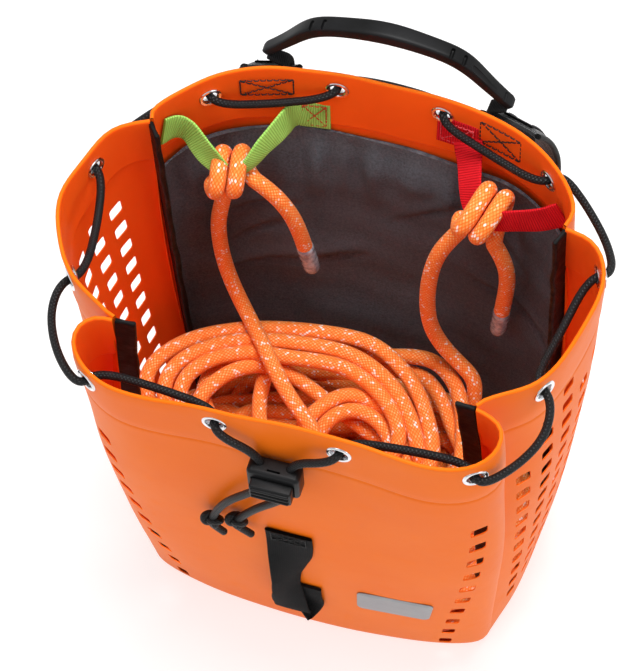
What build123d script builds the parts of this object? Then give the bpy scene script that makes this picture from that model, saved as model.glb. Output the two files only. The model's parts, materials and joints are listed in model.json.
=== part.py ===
from build123d import *
from math import atan2, cos, degrees, pi, radians, sin, tan
import os

# Rope bucket bag with a tied-in floating rope. Millimetres, +Z up, the origin at the
# centre of the base on the surface that the bag stands on. X is left to right, -Y is the
# front with the cord lock, and +Y is the back with the handle and shoulder straps.

# ---------------------------------------------------------------- driving dimensions
RIM_LEVEL = 350.0          # height at which the rim outlines below are drawn
WALL = 2.0                 # coated fabric of the walls
BASE_THICKNESS = 2.5
WALL_BELLY = 6.0           # how far the walls bow out at half height
WALL_LEVELS = (BASE_THICKNESS, 90.0, 175.0, 262.0, 365.0)

# Height of the mouth against y: low at the front, high at the back.
RIM_PROFILE = ((-130, 339), (-114, 340.5), (-103, 347), (-92, 350.5), (-50, 351),
               (20, 351), (40, 354), (56, 358), (80, 359), (130, 359.5))

# Plan outlines, right half, at the rim and at the base.
FRONT_SEAM = ((106, -77.5), (117.5, -59))
FRONT_RIM = ((0, -113.5), (55, -114.5), (94, -116), (114, -109),
             (124.5, -97), (123.5, -86), (116, -79.5))
FRONT_BASE = ((0, -84), (50, -82), (85, -77), (104, -72),
              (112, -68), (115, -65), (116.5, -62))
BACK_SEAM_RIGHT = ((125.5, 46.5), (124, 58))
BACK_SEAM_LEFT = ((-127, 53), (-124, 58))
BACK_RIM = ((128, 56), (125, 65), (112, 81), (85, 100), (45, 110), (0, 113))
BACK_BASE = ((122, 63), (118, 68), (106, 75), (80, 80), (42, 82), (0, 83))
SIDE_RIM_RIGHT = ((117, -68.5), (134, -54), (146, -28), (155, 5), (152, 30), (142, 42))
SIDE_RIM_LEFT = ((117, -71), (137, -57), (152, -38), (164, -5), (158, 22), (147, 42))
SIDE_BASE = ((120, -50), (124, -36), (128, -14), (130, 15), (128, 38), (126, 50))

# Punched drain holes: columns across each side wall, and one down each front edge.
HOLE_WIDTH = 10.0
HOLE_HEIGHT = 11.0
HOLE_PITCH = 21.5
SIDE_COLUMNS = ((0.17, 236), (0.30, 300), (0.43, 300), (0.56, 282), (0.68, 280), (0.80, 284))
HOLE_LOWEST = 40.0
FRONT_COLUMN = 0.862
FRONT_ROWS = 10
FRONT_TOP_HOLE = 244.0
FRONT_PITCH = 25.0

# Seam binding tape, standing inwards from each corner seam.
TAPE_WIDTH = 11.5
TAPE_THICKNESS = 4.0

# Padded back.
PAD_THICKNESS = 6.0
LINING_THICKNESS = 1.2
PAD_TOP = 296.0
LINING_TOP = 301.0

# Eyelets and drawcord.
EYELET_BORE = 4.5
EYELET_BARREL = 5.4
EYELET_FLANGE = 7.6
FLANGE_THICKNESS = 1.0
CORD_DIAMETER = 5.0
CORD_STANDOFF = 6.4

# Cord lock.
LOCK_X = 31.0
LOCK_Y = 12.0
LOCK_Z = 22.0
LOCK_CENTRE = (0.0, -120.0, 292.0)
LOCK_CORD_Y = 1.4          # how far behind the lock's middle the cords run
LOCK_HOLE_X = 7.0
LOCK_HOLE = 3.3
BUTTON_X = 25.0
BUTTON_Z = 13.0
BUTTON_PROUD = 6.0
BUTTON_TRAVEL = 3.5
STEM_LENGTH = 4.4

# Floating rope.
ROPE_DIAMETER = 10.2
KNOT_LEFT = (-88.0, 61.9, 294.0)
KNOT_RIGHT = (72.0, 68.0, 305.0)
KNOT_SIZE = (35.0, 30.0, 38.0)

# Stowed rope: right half of its outline at the bottom and near its top.
PILE_FOOT = ((0, -74), (50, -72), (86, -66), (93, -54), (110, -42), (118, -14), (120, 12),
             (116, 36), (103, 43), (96, 58), (78, 66), (42, 70), (0, 71))
PILE_SHOULDER = ((0, -84), (50, -83), (88, -78), (90, -57), (112, -46), (124, -20), (127, 6),
                 (124, 30), (105, 38), (99, 57), (80, 70), (42, 76), (0, 78))
PILE_LAYERS = ((4.5, PILE_FOOT, 1.0), (128, PILE_SHOULDER, 1.0), (150, PILE_SHOULDER, 0.8))

# Reflective strip on the front.
PATCH_LEVELS = (71.0, 105.0)

# Carrying handle.
HANDLE_PIVOT = (0.0, 117.0, 358.0)
GRIP_WIDTH = 11.0
GRIP_THICKNESS = 9.0

os.makedirs("parts", exist_ok=True)


# ---------------------------------------------------------------- wall outlines
def mirrored(points):
    return [(-x, y) for x, y in reversed(points)]


def outlines():
    """Rim and base outline of each wall, anticlockwise seen from above."""
    front_rim = mirrored(FRONT_RIM[1:]) + list(FRONT_RIM)
    front_base = mirrored(FRONT_BASE[1:]) + list(FRONT_BASE)
    seam_left = [(-x, y) for x, y in FRONT_SEAM]
    back_rim = list(BACK_RIM) + mirrored(BACK_RIM[:-1])
    back_base = list(BACK_BASE) + mirrored(BACK_BASE[:-1])
    return {
        "front_panel": ([seam_left[0]] + front_rim + [FRONT_SEAM[0]],
                        [seam_left[1]] + front_base + [FRONT_SEAM[1]]),
        "right_side_panel": ([FRONT_SEAM[0]] + list(SIDE_RIM_RIGHT) + [BACK_SEAM_RIGHT[0]],
                             [FRONT_SEAM[1]] + list(SIDE_BASE) + [BACK_SEAM_RIGHT[1]]),
        "back_panel": ([BACK_SEAM_RIGHT[0]] + back_rim + [BACK_SEAM_LEFT[0]],
                       [BACK_SEAM_RIGHT[1]] + back_base + [BACK_SEAM_LEFT[1]]),
        "left_side_panel": ([BACK_SEAM_LEFT[0]] + mirrored(SIDE_RIM_LEFT) + [seam_left[0]],
                            [BACK_SEAM_LEFT[1]] + mirrored(SIDE_BASE) + [seam_left[1]]),
    }


OUTLINES = outlines()


def normals(points):
    """Unit normals on the right of the direction of travel, which is outwards."""
    result = []
    for i in range(len(points)):
        ahead = points[min(i + 1, len(points) - 1)]
        behind = points[max(i - 1, 0)]
        step = Vector(ahead[0] - behind[0], ahead[1] - behind[1], 0).normalized()
        result.append((step.Y, -step.X))
    return result


def outline_at(panel, level, inset=0.0, first=0, last=None):
    """Control points of a wall's outline at one height, moved inwards by inset."""
    rim, base = OUTLINES[panel]
    share = level / RIM_LEVEL
    points = [(b[0] + (r[0] - b[0]) * share, b[1] + (r[1] - b[1]) * share)
              for r, b in zip(rim, base)]
    out = WALL_BELLY * max(0.0, sin(pi * share)) - inset
    moved = [(p[0] + n[0] * out, p[1] + n[1] * out) for p, n in zip(points, normals(points))]
    return moved[first:last]


def wall_wire(panel, level, inset_outer, inset_inner, first=0, last=None):
    outer = [Vector(x, y, level) for x, y in outline_at(panel, level, inset_outer, first, last)]
    inner = [Vector(x, y, level) for x, y in outline_at(panel, level, inset_inner, first, last)]
    edges = [Spline(*outer), Line(outer[-1], inner[-1]),
             Spline(*reversed(inner)), Line(inner[0], outer[0])]
    return Wire(edges)


def wall(panel, inset_outer, inset_inner, levels, first=0, last=None):
    wires = [wall_wire(panel, z, inset_outer, inset_inner, first, last) for z in levels]
    return Solid.make_loft(wires)


def wall_frame(panel, share, level):
    """A point on the outside of a wall, and its outward direction."""
    edge = Spline(*[Vector(x, y, level) for x, y in outline_at(panel, level)])
    ahead = edge % share
    return edge @ share, Vector(ahead.Y, -ahead.X, 0).normalized()


def rim_height(y):
    for (y0, z0), (y1, z1) in zip(RIM_PROFILE, RIM_PROFILE[1:]):
        if y0 <= y <= y1:
            return z0 + (z1 - z0) * (y - y0) / (y1 - y0)
    return RIM_LEVEL


def above_rim():
    """Everything above the mouth, for trimming the walls."""
    edge = [Vector(0, y, z) for y, z in RIM_PROFILE]
    top = 420.0
    lid = [Line(edge[-1], Vector(0, edge[-1].Y, top)),
           Line(Vector(0, edge[-1].Y, top), Vector(0, edge[0].Y, top)),
           Line(Vector(0, edge[0].Y, top), edge[0])]
    face = make_face([Spline(*edge)] + lid)
    return extrude(face, amount=220, dir=(1, 0, 0), both=True)


def facing(point, outward, shape):
    """Place a shape, made along +X, at a point looking along outward."""
    return Pos(*point) * Rot(0, 0, degrees(atan2(outward.Y, outward.X))) * shape


def punched(panel, share, level):
    point, outward = wall_frame(panel, share, level)
    return facing(point, outward, Box(14, HOLE_WIDTH, HOLE_HEIGHT))


def side_holes(panel, front_first):
    holes = []
    for column, (share, highest) in enumerate(SIDE_COLUMNS):
        place = share if front_first else 1 - share
        level = highest - (column % 2) * HOLE_PITCH / 2
        while level > HOLE_LOWEST:
            holes.append(punched(panel, place, level))
            level -= HOLE_PITCH
    return holes


def front_holes():
    holes = []
    for row in range(FRONT_ROWS):
        level = FRONT_TOP_HOLE - row * FRONT_PITCH
        if level < HOLE_HEIGHT:
            level = HOLE_HEIGHT + 2
        holes.append(punched("front_panel", FRONT_COLUMN, level))
        holes.append(punched("front_panel", 1 - FRONT_COLUMN, level))
    return holes


# ---------------------------------------------------------------- eyelets
def eyelet_places():
    """Wall, share along it and outward frame of each eyelet, in order round the mouth."""
    spots = (("front_panel", 0.388, 15), ("front_panel", 0.148, 14),
             ("left_side_panel", 0.735, 15), ("left_side_panel", 0.245, 16),
             ("back_panel", 0.855, 16), ("back_panel", 0.605, 12),
             ("back_panel", 0.395, 12), ("back_panel", 0.145, 16),
             ("right_side_panel", 0.800, 15), ("right_side_panel", 0.265, 14),
             ("front_panel", 0.852, 14), ("front_panel", 0.612, 15))
    places = []
    for panel, share, below in spots:
        guess, _ = wall_frame(panel, share, RIM_LEVEL - below)
        level = rim_height(guess.Y) - below
        point, outward = wall_frame(panel, share, level)
        places.append((panel, point, outward))
    return places


EYELETS = eyelet_places()


def ring(outer, bore, length):
    return Rot(0, 90, 0) * (Cylinder(outer, length) - Cylinder(bore, length * 2))


def eyelet(point, outward):
    flange = Pos(FLANGE_THICKNESS / 2 + 0.3, 0, 0) * ring(EYELET_FLANGE, EYELET_BORE, FLANGE_THICKNESS)
    barrel = Pos(-WALL / 2 - 0.2, 0, 0) * ring(EYELET_BARREL, EYELET_BORE, WALL + 1.4)
    return facing(point, outward, flange + barrel)


def eyelet_washer(point, outward):
    plate = Pos(-WALL - 0.9, 0, 0) * ring(EYELET_FLANGE - 0.4, EYELET_BARREL, 0.8)
    return facing(point, outward, plate)


def eyelet_seat(point, outward):
    """The punched hole, and the wall pressed flat under the flange and the washer."""
    hole = Rot(0, 90, 0) * Cylinder(EYELET_BARREL, 12)
    outside = Pos(4.2, 0, 0) * Rot(0, 90, 0) * Cylinder(EYELET_FLANGE + 0.2, 8)
    inside = Pos(-WALL - 4.4, 0, 0) * Rot(0, 90, 0) * Cylinder(EYELET_FLANGE + 0.2, 8)
    return facing(point, outward, hole + outside + inside)


# ---------------------------------------------------------------- webbing and cords
def ribbon(stations, width, thickness):
    """A strip lofted through stations of (point, direction of travel, direction of width)."""
    widths = width if isinstance(width, tuple) else (width,) * len(stations)
    faces = []
    for (point, along, across), wide in zip(stations, widths):
        plane = Plane(origin=point, x_dir=across, z_dir=along)
        faces.append(plane * Rectangle(wide, thickness))
    return loft(faces)


def tight_radius(before, corner, after, share=0.45):
    """Largest fillet that uses the given share of the shorter run at a corner."""
    a = Vector(*corner) - Vector(*before)
    b = Vector(*after) - Vector(*corner)
    turn = radians(a.get_angle(b))
    return share * min(a.length, b.length) / tan(turn / 2)


def tube(points, diameter, name):
    """A round cord along straight runs joined by tangent arcs."""
    corners = list(zip(points, points[1:], points[2:]))
    radii = [tight_radius(*corner) for corner in corners]
    print(name, "radii", [round(r, 1) for r in radii])
    path = FilletPolyline(*points, radius=radii)
    start = Plane(origin=path @ 0, z_dir=path % 0)
    return sweep(start * Circle(diameter / 2), path=path)


def drawcord_points():
    """Route of the drawcord, from the left tail round the mouth to the right tail."""
    out = [tuple(p + n * CORD_STANDOFF) for _, p, n in EYELETS]
    into = [tuple(p - n * (CORD_STANDOFF + WALL)) for _, p, n in EYELETS]
    x, y, z = LOCK_CENTRE
    y += LOCK_CORD_Y
    below = z - LOCK_Z / 2
    above = z + LOCK_Z / 2
    route = [(-47, -113, 196), (-43, -114, 212), (-33, -116, 235), (-18, -118, 257),
             (-LOCK_HOLE_X - 1, y, below - 8), (-LOCK_HOLE_X, y + 0.2, above + 7)]
    # Each run after an eyelet, alternately outside and inside the wall.
    slack = {
        1: [(-74, -104, 334)],
        2: [(-135, -98, 330), (-148, -74, 331)],
        3: [(-141, -10, 330)],
        4: [(-148, 52, 334), (-129, 76, 338)],
        5: [(-70, 94, 337)],
        6: [(0, 121, 346.5)],
        7: [(70, 94, 337)],
        8: [(130, 76, 339), (149, 55, 334)],
        9: [(136, -10, 330)],
        10: [(145, -73, 331), (134, -95, 329)],
        11: [(74, -104, 334)],
    }
    route += [out[0], into[0]]
    for i in range(1, 12):
        route += slack[i]
        outside_first = i % 2 == 0
        route += [out[i], into[i]] if outside_first else [into[i], out[i]]
    route += [(LOCK_HOLE_X, y + 0.2, above + 7), (LOCK_HOLE_X + 1, y, below - 8),
              (0, -118, 256), (-14, -116, 236), (-25, -114, 216), (-31, -113, 203)]
    return route


def knot_points(centre):
    """Three plump turns round a core, as the outside of a tied rope."""
    return [(centre[0] + dx, centre[1], centre[2]) for dx in (-11, 0, 11)]


def rope_knot(centre):
    """The outer shape of a knot: three fat rings side by side round a filled core."""
    width, depth, height = KNOT_SIZE
    turn_radius = (height - ROPE_DIAMETER) / 2
    shape = Cylinder(depth / 2 - 2, width - 6, rotation=(0, 90, 0))
    for point in knot_points((0, 0, 0)):
        shape += Pos(*point) * Cylinder(turn_radius + ROPE_DIAMETER / 2, ROPE_DIAMETER, rotation=(0, 90, 0))
    squashed = scale(shape, by=(1, depth / height, 1))
    return Pos(*centre) * squashed


# ---------------------------------------------------------------- walls and base
def base_panel():
    points = []
    for panel in ("front_panel", "right_side_panel", "back_panel", "left_side_panel"):
        points.append([Vector(x, y, 0) for x, y in outline_at(panel, 0)])
    edges = [Spline(*run) for run in points]
    return extrude(make_face(edges), amount=BASE_THICKNESS)


def seam_tape(corner_rim, corner_base, inward_rim, inward_base):
    """Binding tape folded over a corner seam, a fin that points into the bag."""
    stations = []
    for level in WALL_LEVELS:
        share = level / RIM_LEVEL
        out = WALL_BELLY * max(0.0, sin(pi * share))
        mix = min(share, 1.0)
        inward = (Vector(*inward_base) * (1 - mix) + Vector(*inward_rim) * mix).normalized()
        corner = Vector(*corner_base) * (1 - share) + Vector(*corner_rim) * share
        centre = corner + inward * (TAPE_WIDTH / 2 + WALL + 0.4 - out)
        stations.append((Vector(centre.X, centre.Y, level), Vector(0, 0, 1), inward))
    return ribbon(stations, TAPE_WIDTH, TAPE_THICKNESS)


def seam_tapes():
    left_front = [(-x, y) for x, y in FRONT_SEAM]
    return {
        "front_right_seam_tape": seam_tape(*FRONT_SEAM, (-1, 0.04), (-0.85, 0.5)),
        "front_left_seam_tape": seam_tape(*left_front, (1, 0.04), (0.85, 0.5)),
        "back_right_seam_tape": seam_tape(*BACK_SEAM_RIGHT, (-0.35, -0.94), (-0.5, -0.87)),
        "back_left_seam_tape": seam_tape(*BACK_SEAM_LEFT, (0.62, -0.78), (0.6, -0.8)),
    }


# ---------------------------------------------------------------- cord lock
def rounded_block(x, y, z, radius):
    block = Box(x, y, z)
    return fillet(block.edges().filter_by(Axis.Z), radius)


def lock_holes(height):
    hole = Cylinder(LOCK_HOLE, height)
    return [Pos(side * LOCK_HOLE_X, LOCK_CORD_Y, 0) * hole for side in (-1, 1)]


def cord_lock():
    """Squeeze lock: a body open at the front, a button that slides in it, and its spring."""
    front = -LOCK_Y / 2
    back_wall = 1.6
    low = -2.0
    shell = rounded_block(LOCK_X, LOCK_Y, LOCK_Z, 3)
    cavity_depth = LOCK_Y - back_wall
    cavity = Pos(0, front + cavity_depth / 2, low) * Box(BUTTON_X + 0.8, cavity_depth, BUTTON_Z + 0.8)
    body = shell - [cavity] - lock_holes(LOCK_Z * 2)
    head = Pos(0, front - BUTTON_PROUD / 2, low) * Box(BUTTON_X, BUTTON_PROUD, BUTTON_Z)
    for rib in (-3.5, 0.0, 3.5):
        head += Pos(0, front - BUTTON_PROUD - 0.4, rib + low) * Box(BUTTON_X - 2, 1.2, 1.4)
    stem = Pos(0, front + STEM_LENGTH / 2 - 0.5, low) * Box(7, STEM_LENGTH + 1, BUTTON_Z - 3)
    # The spring is drawn at the length that it has with the button pressed right in.
    pressed = cavity_depth - STEM_LENGTH - BUTTON_TRAVEL - 0.3
    coil = Cylinder(3, pressed) - Cylinder(2.2, pressed * 2)
    spring = Pos(0, front + cavity_depth - pressed / 2, low) * Rot(90, 0, 0) * coil
    place = Pos(*LOCK_CENTRE)
    return place * body, place * (head + stem), place * spring


# ---------------------------------------------------------------- webbing
def main_piece(shape):
    """The largest solid of a shape that has been cut."""
    return max(shape.solids(), key=lambda piece: piece.volume)


def tie_loop(left, knot, right):
    """Webbing sewn to the wall at both ends, with the rope tied round its middle."""
    width, thickness = 19.0, 1.6
    up = Vector(0, 0, 1)
    parts = []
    for arms, side in ((left, -1), (right, 1)):
        hold = Vector(*knot) + Vector(side * (KNOT_SIZE[0] / 2 - 6), 4, KNOT_SIZE[2] / 2 - 2)
        run = [Vector(*point) for point in arms] + [hold]
        strip = ribbon(travel_stations(run, up), width, thickness)
        parts.append(main_piece(strip - rope_knot(knot)))
    return Compound(parts)


def front_gear_loop():
    """Webbing sewn flat at its top, hanging in a curl and sewn again at its lower end."""
    side = Vector(1, 0, 0)
    stand_off = 1.6
    sewn_top = [Vector(-3, wall_frame("front_panel", 0.5, z)[0].Y - stand_off, z) for z in (186, 176)]
    sewn_foot = [Vector(-3, wall_frame("front_panel", 0.5, z)[0].Y - stand_off - 0.3, z) for z in (72, 86)]
    loose = [Vector(-3, y, z) for y, z in ((-113, 150), (-116, 120), (-116.5, 92), (-112, 66), (-102.5, 59))]
    points = sewn_top + loose + sewn_foot
    return ribbon(travel_stations(points, side), 28.0, 2.0)


def back_frame(x_share, level):
    point, outward = wall_frame("back_panel", x_share, level)
    across = Vector(outward.Y, -outward.X, 0)
    return point, outward, across


def strap_set(share, side):
    """Anchor patch, padded strap, adjuster buckle and lower webbing of one shoulder strap."""
    top, outward, across = back_frame(share, 340)
    patch_at = top + outward * 1.4
    patch = ribbon([(Vector(patch_at.X, patch_at.Y, 326), Vector(0, 0, 1), across),
                    (Vector(patch_at.X, patch_at.Y, 357), Vector(0, 0, 1), across)], 38.0, 2.0)
    start = top + outward * 10.2
    route = [(0, 0, 350), (side * 4, 8, 338), (side * 9, 13, 312), (side * 10, 14, 270),
             (side * 9, 12, 220), (side * 8, 10, 168)]
    points = [Vector(start.X + dx, start.Y + dy, z) for dx, dy, z in route]
    strap = ribbon(travel_stations(points, across), 38.0, 6.0)
    foot = points[-1]
    buckle_at = foot - outward * 1.5 + Vector(0, 0, -16)
    buckle = Box(34, 4, 26)
    for slot in (-7.5, 0.0, 7.5):
        buckle -= Pos(0, 0, slot) * Box(27, 6, 4.2)
    buckle = Pos(*buckle_at) * Rot(0, 0, degrees(atan2(across.Y, across.X))) * buckle
    low, low_out, _ = back_frame(share, 42)
    low_points = [buckle_at + Vector(0, 0, -13.3), buckle_at + Vector(side * 1, -2, -42),
                  Vector(low.X + side * 4, low.Y + 7.5, 62), Vector(low.X + side * 5, low.Y + 4.4, 24)]
    lower = ribbon(travel_stations(low_points, across), 25.0, 1.6)
    return patch, strap, buckle, lower


def travel_stations(points, across):
    stations = []
    for i, point in enumerate(points):
        ahead = points[min(i + 1, len(points) - 1)]
        behind = points[max(i - 1, 0)]
        stations.append((point, (ahead - behind).normalized(), across))
    return stations


# ---------------------------------------------------------------- handle
def handle():
    """Moulded grip with a strip of webbing running through it to the pivot line."""
    y = HANDLE_PIVOT[1] - 2
    half = [(75, y, 362.5), (59, y + 1, 378.5), (43, y + 2, 394), (22, y + 2, 400.5)]
    points = half + [(0, y + 2, 403)] + [(-x, py, z) for x, py, z in reversed(half)]
    spine = Spline(*[Vector(*p) for p in points])
    stations = []
    for step in range(13):
        share = step / 12
        grow = sin(pi * share)
        plane = Plane(origin=spine @ share, x_dir=(0, 1, 0), z_dir=spine % share)
        stations.append(plane * RectangleRounded(GRIP_WIDTH - 1 + grow, GRIP_THICKNESS - 1 + grow, 3))
    grip = loft(stations)
    across = Vector(0, 1, 0)
    webs = []
    for side in (-1, 1):
        ends = [Vector(side * 74, y, 361.5), Vector(side * 69, y + 1.4, 358.6), Vector(side * 62, y + 2, 357.6)]
        webs.append(ribbon(travel_stations(ends, across), (7.0, 6.0, 4.6), 1.8))
    return grip, webs


def handle_anchor(share, side):
    """The fixed end of the handle webbing, from behind the rim up to the pivot line."""
    point, outward, across = back_frame(share, 340)
    start = point + outward * 4.8
    ends = [Vector(start.X, start.Y, 330), Vector(start.X, start.Y, 346),
            Vector(side * 66, HANDLE_PIVOT[1] - 1, HANDLE_PIVOT[2] - 6.5)]
    return ribbon(travel_stations(ends, across), (22.0, 20.0, 6.0), 1.6)


# ---------------------------------------------------------------- rope
ROPE_LEFT = [(-90, 65, 277), (-93, 65, 262), (-97, 66, 240), (-98, 66, 214), (-96, 65, 190),
             (-90, 61, 168), (-81, 54, 152)]
ROPE_RIGHT = [(58, 66, 292), (49, 62, 276), (43, 59, 252), (41, 57, 226), (42, 56, 200),
              (47, 56, 177), (58, 54, 160), (72, 51, 150)]
TAIL_LEFT = [(-70, 66, 296), (-60, 66, 287), (-51, 67, 270), (-45, 68, 249), (-42, 69, 226)]
TAIL_RIGHT = [(80, 66, 286), (86, 66, 272), (89, 67, 250), (88, 68, 228), (86, 69, 204)]
SLEEVE_LENGTH = 26.0


def sleeve(tail):
    """Clear shrink sleeve over the cut end of the rope, closed by a rounded cap."""
    end = Vector(*tail[-1])
    way = (end - Vector(*tail[-2])).normalized()
    plane = Plane(origin=end, z_dir=way)
    return extrude(plane * Circle(ROPE_DIAMETER / 2 + 0.3), amount=SLEEVE_LENGTH)


def rope_pile():
    """Outer shape of the rope stowed in the bottom of the bag."""
    wires = []
    for level, outline, share in PILE_LAYERS:
        points = list(outline) + mirrored(outline[1:-1])
        wires.append(Wire.make_polygon([Vector(x * share, y * share, level) for x, y in points]))
    return Solid.make_loft(wires, ruled=True)


def end_knot(end, side):
    """Overhand knot that stops a drawcord tail, with its short free tip."""
    knot = Pos(*end) * Sphere(5.6)
    tip_end = (end[0] + 6 + side, end[1] + 3, end[2] - 22)
    tip_line = Line(Vector(*end), Vector(*tip_end))
    tip = sweep(Plane(origin=end, z_dir=tip_line % 0) * Circle(CORD_DIAMETER / 2), path=tip_line)
    return knot + tip


def reflective_patch():
    """Reflective strip welded to the lower right of the front."""
    corner_shares = (0.632, 0.805)
    stations = []
    for step in range(4):
        share = corner_shares[0] + (corner_shares[1] - corner_shares[0]) * step / 3
        low, outward = wall_frame("front_panel", share, PATCH_LEVELS[0])
        high, _ = wall_frame("front_panel", share, PATCH_LEVELS[1])
        along = Vector(-outward.Y, outward.X, 0)
        stations.append(((low + high) / 2 + outward * 0.9, along, (high - low).normalized()))
    return ribbon(stations, PATCH_LEVELS[1] - PATCH_LEVELS[0], 0.8)


def add_webbing(nodes, plain):
    nodes["green_tie_loop"] = tie_loop(((-121, 60, 318), (-111, 62, 319)), KNOT_LEFT,
                                       ((-38, 95, 318), (-56, 88, 316)))
    nodes["red_tie_loop"] = tie_loop(((40, 94, 326), (56, 86, 322)), KNOT_RIGHT,
                                     ((116, 64, 309), (100, 66, 310)))
    nodes["front_gear_loop"] = front_gear_loop()
    for share, side, word in ((0.268, 1, "right"), (0.732, -1, "left")):
        patch, strap, buckle, lower = strap_set(share, side)
        nodes[word + "_anchor_patch"] = main_piece(patch - plain["back_panel"])
        nodes[word + "_shoulder_strap"] = strap
        nodes[word + "_strap_buckle"] = buckle
        nodes[word + "_lower_strap"] = main_piece(lower - plain["back_panel"])
        nodes["handle_anchor_" + word] = handle_anchor(share, side)
    grip, webs = handle()
    nodes["handle_grip"] = grip
    nodes["handle_webbing"] = Compound(webs)


def add_rope(nodes):
    nodes["rope_pile"] = rope_pile()
    for word, knot, lead, tail in (("left", KNOT_LEFT, ROPE_LEFT, TAIL_LEFT),
                                   ("right", KNOT_RIGHT, ROPE_RIGHT, TAIL_RIGHT)):
        shape = rope_knot(knot)
        nodes["rope_knot_" + word] = shape
        nodes["rope_lead_" + word] = tube(lead, ROPE_DIAMETER, "lead " + word) - [shape, nodes["rope_pile"]]
        nodes["rope_tail_" + word] = tube(tail, ROPE_DIAMETER, "tail " + word) - shape
        nodes["rope_sleeve_" + word] = sleeve(tail)


# ---------------------------------------------------------------- assembly
def build():
    trim = above_rim()
    nodes = {}
    bores = {}
    for panel, point, outward in EYELETS:
        bores.setdefault(panel, []).append(eyelet_seat(point, outward))
    holes = {
        "front_panel": front_holes(),
        "right_side_panel": side_holes("right_side_panel", True),
        "left_side_panel": side_holes("left_side_panel", False),
        "back_panel": [],
    }
    plain = {}
    for panel in ("front_panel", "back_panel", "right_side_panel", "left_side_panel"):
        shape = wall(panel, 0, WALL, WALL_LEVELS) - trim
        if panel.endswith("side_panel"):
            shape = shape - [plain["front_panel"], plain["back_panel"]]
        plain[panel] = shape
        nodes[panel] = shape - (holes[panel] + bores[panel])
    nodes["base_panel"] = base_panel()
    for name, tape in seam_tapes().items():
        end = name.split("_")[0] + "_panel"
        flank = name.split("_")[1] + "_side_panel"
        nodes[name] = tape - [trim, plain[end], plain[flank]]
    pad_levels = [4.0 + (PAD_TOP - 4.0) * step / 4 for step in range(5)]
    lining_levels = [4.0 + (LINING_TOP - 4.0) * step / 4 for step in range(5)]
    pad_in = WALL + 0.3
    nodes["back_pad"] = wall("back_panel", pad_in, pad_in + PAD_THICKNESS, pad_levels, 2, -2)
    lining_in = pad_in + PAD_THICKNESS + 0.2
    nodes["back_lining"] = wall("back_panel", lining_in, lining_in + LINING_THICKNESS, lining_levels, 2, -2)
    nodes["eyelets"] = Compound([eyelet(p, n) for _, p, n in EYELETS])
    nodes["eyelet_washers"] = Compound([eyelet_washer(p, n) for _, p, n in EYELETS])
    nodes["drawcord"] = tube(drawcord_points(), CORD_DIAMETER, "drawcord")
    body, button, spring = cord_lock()
    nodes["cord_lock_body"] = body
    nodes["cord_lock_button"] = button
    nodes["cord_lock_spring"] = spring
    ends = (drawcord_points()[0], drawcord_points()[-1])
    nodes["drawcord_end_knots"] = Compound([end_knot(end, side) - nodes["drawcord"] for end, side in zip(ends, (-1, 1))])
    add_webbing(nodes, plain)
    add_rope(nodes)
    nodes["reflective_patch"] = reflective_patch() - plain["front_panel"]
    return nodes


for node_name, solid in build().items():
    export_step(solid, os.path.join("parts", node_name + ".step"))
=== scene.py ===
import json
from math import cos, pi, radians, sin
import bpy
import numpy as np
from mathutils import Matrix, Vector, kdtree
from mathutils.geometry import delaunay_2d_cdt

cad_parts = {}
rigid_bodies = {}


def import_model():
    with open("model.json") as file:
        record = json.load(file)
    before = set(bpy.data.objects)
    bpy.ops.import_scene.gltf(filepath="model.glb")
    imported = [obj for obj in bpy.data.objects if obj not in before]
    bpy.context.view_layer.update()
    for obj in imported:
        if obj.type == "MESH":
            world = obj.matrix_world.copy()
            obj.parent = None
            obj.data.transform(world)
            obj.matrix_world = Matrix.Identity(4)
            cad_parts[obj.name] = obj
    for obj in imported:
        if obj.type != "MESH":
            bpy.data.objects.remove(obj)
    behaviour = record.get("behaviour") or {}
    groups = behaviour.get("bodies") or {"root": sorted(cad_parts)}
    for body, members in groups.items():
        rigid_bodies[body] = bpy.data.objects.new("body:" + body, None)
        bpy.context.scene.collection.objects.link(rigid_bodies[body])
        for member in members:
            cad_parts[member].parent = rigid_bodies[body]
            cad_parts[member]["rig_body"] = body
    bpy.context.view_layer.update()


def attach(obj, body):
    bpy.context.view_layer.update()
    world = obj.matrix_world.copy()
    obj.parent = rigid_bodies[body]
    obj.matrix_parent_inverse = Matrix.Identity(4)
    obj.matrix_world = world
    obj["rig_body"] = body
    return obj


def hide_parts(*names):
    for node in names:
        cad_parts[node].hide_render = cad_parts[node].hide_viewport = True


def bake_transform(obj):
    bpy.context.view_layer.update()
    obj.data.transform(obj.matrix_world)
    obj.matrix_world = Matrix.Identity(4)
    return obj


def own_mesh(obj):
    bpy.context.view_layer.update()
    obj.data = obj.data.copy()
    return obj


# Rope bucket bag. Shapes are worked out in millimetres and stored in metres.
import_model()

MM = 0.001
BAG, HANDLE, BUTTON = "bag", "handle", "lock_button"


# ---------------------------------------------------------------- general helpers
def unit(v):
    v = np.asarray(v, float)
    return v / np.maximum(np.linalg.norm(v, axis=-1, keepdims=True), 1e-9)


def path_length(path):
    return np.linalg.norm(np.diff(path, axis=0), axis=1).sum()


def distances(path):
    """Distance along a path at each of its points."""
    return np.concatenate([[0], np.cumsum(np.linalg.norm(np.diff(path, axis=0), axis=1))])


def turned(points, x_axis, y_axis, z_axis, place):
    """Points laid out along three directions from a place."""
    return points[:, :1] * x_axis + points[:, 1:2] * y_axis + points[:, 2:] * z_axis + place


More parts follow.
